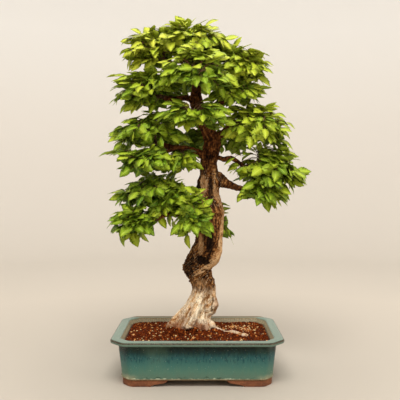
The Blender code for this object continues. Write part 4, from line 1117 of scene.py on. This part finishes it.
def build_pot_body(glaze_look):
    """The glazed body, with the two drain holes in its floor."""
    rings = [pot_outline(inset) for inset, _, _ in POT_PROFILE]
    count = len(rings[0])
    points = [(x, y, height) for ring, (_, height, _) in zip(rings, POT_PROFILE) for x, y in ring]
    faces = band_faces(len(rings), count)
    faces.append(tuple(reversed(range(count))))
    faces.append(tuple(range(len(points) - count, len(points))))
    pot = mesh_object("pot_body", points, faces, glaze_look)
    give_number(pot, "bare", np.repeat([bare for _, _, bare in POT_PROFILE], count))
    turns = np.arange(40) * math.tau / 40
    holes = [prism("hole", [(x + 12 * math.cos(a), 12 * math.sin(a)) for a in turns], -10, 60, "z")
             for x in (-82, 82)]
    cut_with(pot, holes)
    pot.data.set_sharp_from_angle(angle=math.radians(42))
    return pot


def build_pot_feet(clay_look):
    """The four bracket feet: a ring of clay with a stepped opening through each pair of sides."""
    loops = [(pot_outline(inset), height) for inset, height in FOOT_SECTION]
    points = [(x, y, height) for ring, height in loops for x, y in ring]
    faces = band_faces(len(loops), len(loops[0][0]), closed=True)
    feet = mesh_object("pot_feet", points, faces, clay_look)
    bars = []
    for name, shift, axis in (("front_step", 0.0, "y"), ("side_step", -42.0, "x")):
        half = [(x + shift, z) for x, z in FOOT_STEP]
        section = [(half[0][0], -20.0), *half, (half[-1][0], 40.0)]
        section += [(-x, z) for x, z in reversed(section)]
        bars.append(prism(name, section, -400, 400, axis))
    cut_with(feet, bars)
    feet.data.set_sharp_from_angle(angle=math.radians(38))
    return feet


def build_pot(glaze_look, clay_look):
    for made in (build_pot_body(glaze_look), build_pot_feet(clay_look)):
        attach(made, "root")
        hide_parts("pot")


def glaze_material():
    """Teal glaze that turns dark under the lip, partly its own colour and partly painted shade from the
    lip's overhang, with drips, and bare clay where it ends.
    """
    look = Look("teal_glaze")
    place = look.place()
    height = look.split(place)[2]
    from_middle = look.put("VectorMath", {0: place, 1: tuple(MIDDLE * MM)}, operation="SUBTRACT")
    x, y, _ = look.split(from_middle)
    bare = look.read("bare")
    drips = look.noise(look.stretched(place, 0.14), 150.0, 4.0, 0.6)
    drops = look.noise(look.stretched(place, 0.34), 250.0, 2.0, 0.5)
    cloud = look.noise(place, 14.0, 4.0, 0.55)
    speck = look.noise(place, 420.0, 3.0, 0.6)

    level = height + (drips * 0.018 - 0.009) * height.step(0.091, 0.084)
    # Painted shade: the stops from 0.70 to 0.865 darken the body to near black just beneath the lip's
    # overhang, over the glaze's own darker teal.
    colour = look.ramp(
        (level - 0.010) * (1 / 0.094),
        (0.0, 118, 124, 104), (0.1, 83, 107, 91), (0.25, 77, 113, 98), (0.42, 59, 103, 96),
        (0.58, 40, 86, 88), (0.70, 22, 53, 51), (0.80, 9, 28, 24), (0.865, 2, 12, 7),
        (0.89, 92, 116, 104), (0.955, 100, 118, 104), (0.983, 112, 134, 120), (1.0, 110, 132, 118))
    band = height.step(0.046, 0.062) * height.step(0.086, 0.074)
    colour = look.mix(drops.step(0.54, 0.62) * band * 0.6, colour, (10, 46, 58))
    lighter = height.step(0.03, 0.045) * height.step(0.085, 0.06)
    colour = look.mix(drips.step(0.5, 0.66) * lighter * 0.3, colour, (66, 116, 106))
    colour = look.mix(cloud.step(0.5, 0.75) * 0.25, colour, (98, 128, 104))

    # The glaze's lower edge: a broken pale fringe, dark scallops above it, thin glaze at the corners
    corner = (abs(x) + abs(y)).step(0.236, 0.266)
    edge = look.noise(look.stretched(place, 0.05), 95.0, 3.0) * 0.011 + height
    fringe = edge.step(0.0195, 0.0212) * edge.step(0.0256, 0.0228)
    broken = look.noise(place, 60.0, 2.0).step(0.40, 0.58)
    scallop = edge.step(0.0236, 0.0252) * edge.step(0.0286, 0.0262)
    scallop = scallop * look.noise(place, 48.0, 2.0).step(0.5, 0.6)
    colour = look.mix(scallop * 0.72, colour, (34, 54, 40))
    colour = look.mix(fringe * broken * 0.85, colour, (196, 206, 180))
    colour = look.mix(corner * edge.step(0.036, 0.021) * 0.62, colour, (176, 166, 132))

    speckled = speck.step(0.35, 0.7)
    clay = look.mix(speckled, (112, 92, 64), (158, 136, 102))
    clay_inside = look.mix(speckled, (128, 115, 88), (170, 153, 120))
    clay = look.mix(height.step(0.05, 0.08) * height.step(0.1015, 0.0985), clay, clay_inside)
    far = y.step(0.108, 0.128) * height.step(0.099, 0.1005)
    clay = look.mix(far * 0.6, clay, (104, 88, 62))
    share = (far * 0.75 + bare + speck * 0.5 - 0.28).step(0.35, 0.75)
    line = (cloud * 0.5 + bare).step(0.02, -0.35)
    colour = look.mix(line, colour, look.mix(speck.step(0.4, 0.6), (46, 42, 30), (86, 78, 62)))
    colour = look.mix(share, colour, clay)
    colour = look.mix(speck.step(0.66, 0.72) * 0.3, colour, (210, 215, 190))
    return look.finish(Base_Color=colour, Roughness=share * 0.5 + 0.26,
                       Normal=look.bump(cloud + drips * 0.4, 0.25, 1.2), Specular_IOR_Level=0.2,
                       Coat_Weight=0.04, Coat_Roughness=0.12)


def clay_material():
    look = Look("bare_clay")
    place = look.place()
    grain = look.noise(place, 300.0, 5.0, 0.6)
    colour = look.ramp(look.noise(place, 35.0, 3.0) * 0.6 + grain * 0.4, (0.3, 84, 46, 26),
                       (0.5, 122, 72, 42), (0.7, 152, 98, 62))
    return look.finish(Base_Color=colour, Roughness=0.88, Normal=look.bump(grain, 0.5, 0.6))


# The soil

def tree_of(mesh):
    """A search tree of a mesh's faces."""
    mesh.calc_loop_triangles()
    return BVHTree.FromPolygons([v.co.copy() for v in mesh.vertices],
                                [tuple(t.vertices) for t in mesh.loop_triangles])


def grain_template():
    build = bmesh.new()
    bmesh.ops.create_icosphere(build, subdivisions=1, radius=1.0)
    points = np.array([v.co[:] for v in build.verts])
    faces = [tuple(v.index for v in f.verts) for f in build.faces]
    build.free()
    return points, faces


GRAIN_PITCH = 3.9
GRAIN_SIZES = (1.5, 1.9, 2.3, 2.8)
GRAIN_SHARES = (0.2, 0.36, 0.3, 0.14)
# Soil heaped against the foot: place, reach and height
SOIL_HEAPS = ((-52, -34, 15, 12), (-8, -27, 12, 12), (42, -14, 11, 3), (-62, -14, 12, 8))


def heap_at(x, y):
    """How high the soil is heaped at a place."""
    return max(height * math.exp(-((x - heap_x) / reach) ** 2 - ((y - heap_y) / reach) ** 2)
               for heap_x, heap_y, reach, height in SOIL_HEAPS)


def ground_at(ground, x, y):
    """The soil's height at a place, or nothing past its edge."""
    above = Vector(((x + MIDDLE[0]) * MM, (y + MIDDLE[1]) * MM, 0.3))
    hit = ground.ray_cast(above, Vector((0, 0, -1)))[0]
    return None if hit is None else hit.z / MM


def granule(template, centre, size, draw):
    """The points of one granule, stretched and turned at random."""
    angle = draw.uniform(0, math.tau)
    axis = Vector(draw.normal(0, 1, 3)).normalized()
    turn = np.array(Matrix.Rotation(angle, 3, axis))
    body = template * draw.uniform(0.8, 1.2, (len(template), 1)) * draw.uniform(0.75, 1.2, 3)
    return centre + (body @ turn.T) * size


def build_grains(grain_look):
    """Coarse clay granules over the whole top of the soil, in layers where it is heaped."""
    draw = np.random.default_rng(77)
    template, template_faces = grain_template()
    wood, ground = tree_of(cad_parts["trunk"].data), tree_of(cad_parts["soil"].data)
    outline = pot_outline(27.6)
    points, faces, tones = [], [], []
    for column in np.arange(-166, 166, GRAIN_PITCH):
        for row in np.arange(-113, 113, GRAIN_PITCH):
            x, y = column + draw.uniform(-1.7, 1.7), row + draw.uniform(-1.7, 1.7)
            size = draw.choice(GRAIN_SIZES, p=GRAIN_SHARES) * draw.uniform(0.85, 1.15)
            low = ground_at(ground, x, y) if inside(outline, x, y, size) else None
            if low is None:
                continue
            heap = heap_at(x, y)
            low += draw.uniform(0.0, 1.0)
            for level in np.arange(heap, -1.5, -3.0):
                centre = np.array((x, y, low + level)) + draw.normal(0, 0.25 * (heap > 2), 3)
                if deep_in(wood, centre):
                    continue
                first = len(points)
                points.extend(granule(template, centre, size, draw))
                faces.extend([tuple(first + c for c in f) for f in template_faces])
                tones.extend([grain_tone(x, y, draw)] * len(template_faces) * 3)
                if heap < 2:
                    break
    grains = mesh_object("soil_grains", points, faces, grain_look, smooth=False)
    give_uv(grains, "tone", np.stack((tones, tones), -1))
    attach(grains, "root")


def grain_tone(x, y, draw):
    """How pale a granule is. A patch at the right rear holds many pale ones, and granules along the front
    edge are darkened as painted shade from the pot's front lip.
    """
    light = math.exp(-(((x - 104) / 34) ** 2 + ((y - 36) / 26) ** 2))
    kind = draw.uniform()
    if kind < 0.045 + 0.3 * light:
        return draw.uniform(0.84, 1.0)
    if kind < 0.11 + 0.54 * light:
        return draw.uniform(0.6, 0.8)
    # Painted shade: granules along the front edge, next to the lip, are darker.
    return draw.uniform(0.05, 0.5) * (0.62 if y < -100 else 1.0)


def inside(outline, x, y, margin):
    """True if a place lies inside an outline that bulges everywhere, by a margin."""
    following = np.roll(outline, -1, axis=0)
    run = following - outline
    cross = run[:, 0] * (y - outline[:, 1]) - run[:, 1] * (x - outline[:, 0])
    return bool(np.all(cross / np.maximum(np.hypot(run[:, 0], run[:, 1]), 1e-6) > margin))


def deep_in(tree, place):
    """True if a place about the pot's middle lies inside a closed mesh: the way up from it leads out."""
    normal = tree.ray_cast(Vector((place + MIDDLE) * MM), Vector((0, 0, 1)))[1]
    return normal is not None and normal.z > 0


def grain_material():
    look = Look("akadama_grain")
    tone = look.split(look.uv("tone"))[0]
    fine = look.noise(look.place(), 900.0, 3.0)
    colour = look.ramp(tone, (0.0, 50, 17, 3), (0.25, 88, 33, 6), (0.5, 134, 58, 12),
                       (0.68, 176, 88, 34), (0.82, 224, 152, 78), (1.0, 248, 222, 164))
    colour = look.mix(fine.step(0.75, 0.3) * 0.4, colour, (40, 16, 8))
    return look.finish(Base_Color=colour, Roughness=0.92, Normal=look.bump(fine, 0.5, 0.4),
                       Specular_IOR_Level=0.08)


def soil_material():
    look = Look("akadama_soil")
    lumps = look.put("TexVoronoi", {"Vector": look.place(), "Scale": 260.0})
    colour = look.ramp(lumps, (0.0, 104, 46, 20), (0.5, 72, 30, 14), (1.0, 34, 14, 8))
    return look.finish(Base_Color=colour, Roughness=0.95, Normal=look.bump(lumps, 0.8, 1.5))


def net_material():
    look = Look("black_net")
    weave = look.noise(look.place(), 500.0, 2.0)
    colour = look.ramp(weave, (0.3, 18, 18, 18), (0.7, 40, 40, 38))
    return look.finish(Base_Color=colour, Roughness=0.55, Normal=look.bump(weave, 0.2, 0.3))


# Stage, lights and camera

def stage_material():
    """Pale paper with painted light: darker round the middle of the floor, lighter outward and upward."""
    look = Look("paper_painted_light")
    place = look.place()
    height = look.split(place)[2]
    from_middle = look.put("VectorMath", {0: look.stretched(place, 0)}, "Value", operation="LENGTH")
    # Painted light: the paper's colour runs from darker at the floor's middle to lighter outward and up the
    # wall.
    colour = look.ramp(height * 0.25 + from_middle * 0.125, (0.046, 185, 176, 163),
                       (0.1375, 210, 200, 186), (0.275, 220, 212, 200), (0.52, 233, 227, 219),
                       (0.775, 249, 247, 244))
    return look.finish(Base_Color=colour, Roughness=0.95)


def build_stage():
    """A pale round floor that rises in one sweep to a wall all round."""
    bend = np.linspace(0.0, math.pi / 2, 13)
    profile = [(0.7, 0.0)]
    profile += [(2.2 + 0.9 * math.sin(a), 0.9 * (1 - math.cos(a))) for a in bend]
    profile += [(3.1, 2.2)]
    sides = 72
    points = [(r * math.cos(k * math.tau / sides), r * math.sin(k * math.tau / sides), z)
              for r, z in profile for k in range(sides)]
    points.append((0.0, 0.0, 0.0))
    faces = [(len(points) - 1, k, (k + 1) % sides) for k in range(sides)]
    faces += [(a, d, c, b) for a, b, c, d in band_faces(len(profile), sides)]
    mesh = bpy.data.meshes.new("sweep")
    mesh.from_pydata(points, [], faces)
    mesh.polygons.foreach_set("use_smooth", [True] * len(mesh.polygons))
    mesh.materials.append(stage_material())
    add_object("sweep", mesh)


def area_light(name, place, target, size, power, colour):
    data = bpy.data.lights.new(name, "AREA")
    data.shape = "RECTANGLE"
    data.size, data.size_y = size
    data.energy = power
    data.color = colour
    lamp = add_object(name, data)
    lamp.location = place
    lamp.rotation_euler = (Vector(target) - Vector(place)).to_track_quat("-Z", "Y").to_euler()


def build_lights():
    area_light("key", (-0.12, -1.4, 2.15), (0, 0, 0.4), (1.2, 0.9), 43, (1.0, 0.985, 0.955))
    area_light("fill", (1.7, -1.3, 1.2), (0, 0, 0.45), (1.6, 1.6), 11, (1.0, 0.98, 0.95))
    area_light("top", (0.1, 0.5, 2.3), (0, 0, 0.5), (1.6, 1.2), 12, (1.0, 0.99, 0.97))
    world = bpy.data.worlds.new("studio")
    world.use_nodes = True
    background = world.node_tree.nodes["Background"]
    background.inputs[0].default_value = (*srgb(252, 248, 242), 1.0)
    background.inputs[1].default_value = 0.73
    bpy.context.scene.world = world
    bpy.context.scene.view_settings.view_transform = "Standard"


def build_camera():
    """The photograph's view, worked out from the pot's corners."""
    data = bpy.data.cameras.new("camera")
    data.sensor_width = 36.0
    data.lens = 54.87
    camera = add_object("camera", data)
    camera.location = ((MIDDLE[0] + 5.8) * MM, (MIDDLE[1] - 1419.7) * MM, 430.2 * MM)
    camera.rotation_euler = (math.pi / 2 - 0.02, 0, 0)
    bpy.context.scene.camera = camera


def main():
    build_camera()
    build_stage()
    build_lights()
    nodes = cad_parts
    for name, look in (("soil", soil_material()), ("drain_screen_left", net_material()),
                       ("drain_screen_right", net_material())):
        nodes[name].data.materials.clear()
        nodes[name].data.materials.append(look)
    build_pot(glaze_material(), clay_material())
    build_grains(grain_material())
    trunk = build_trunk(bark_material())
    trunk.data.calc_loop_triangles()
    wood = BVHTree.FromPolygons([Vector(np.array(v.co) / MM - MIDDLE) for v in trunk.data.vertices],
                                [tuple(t.vertices) for t in trunk.data.loop_triangles])
    leaf_look, twig_look = leaf_material(), twig_material()
    for number, pad in enumerate(PADS):
        pad_foliage(pad, number, wood, leaf_look, twig_look)


main()
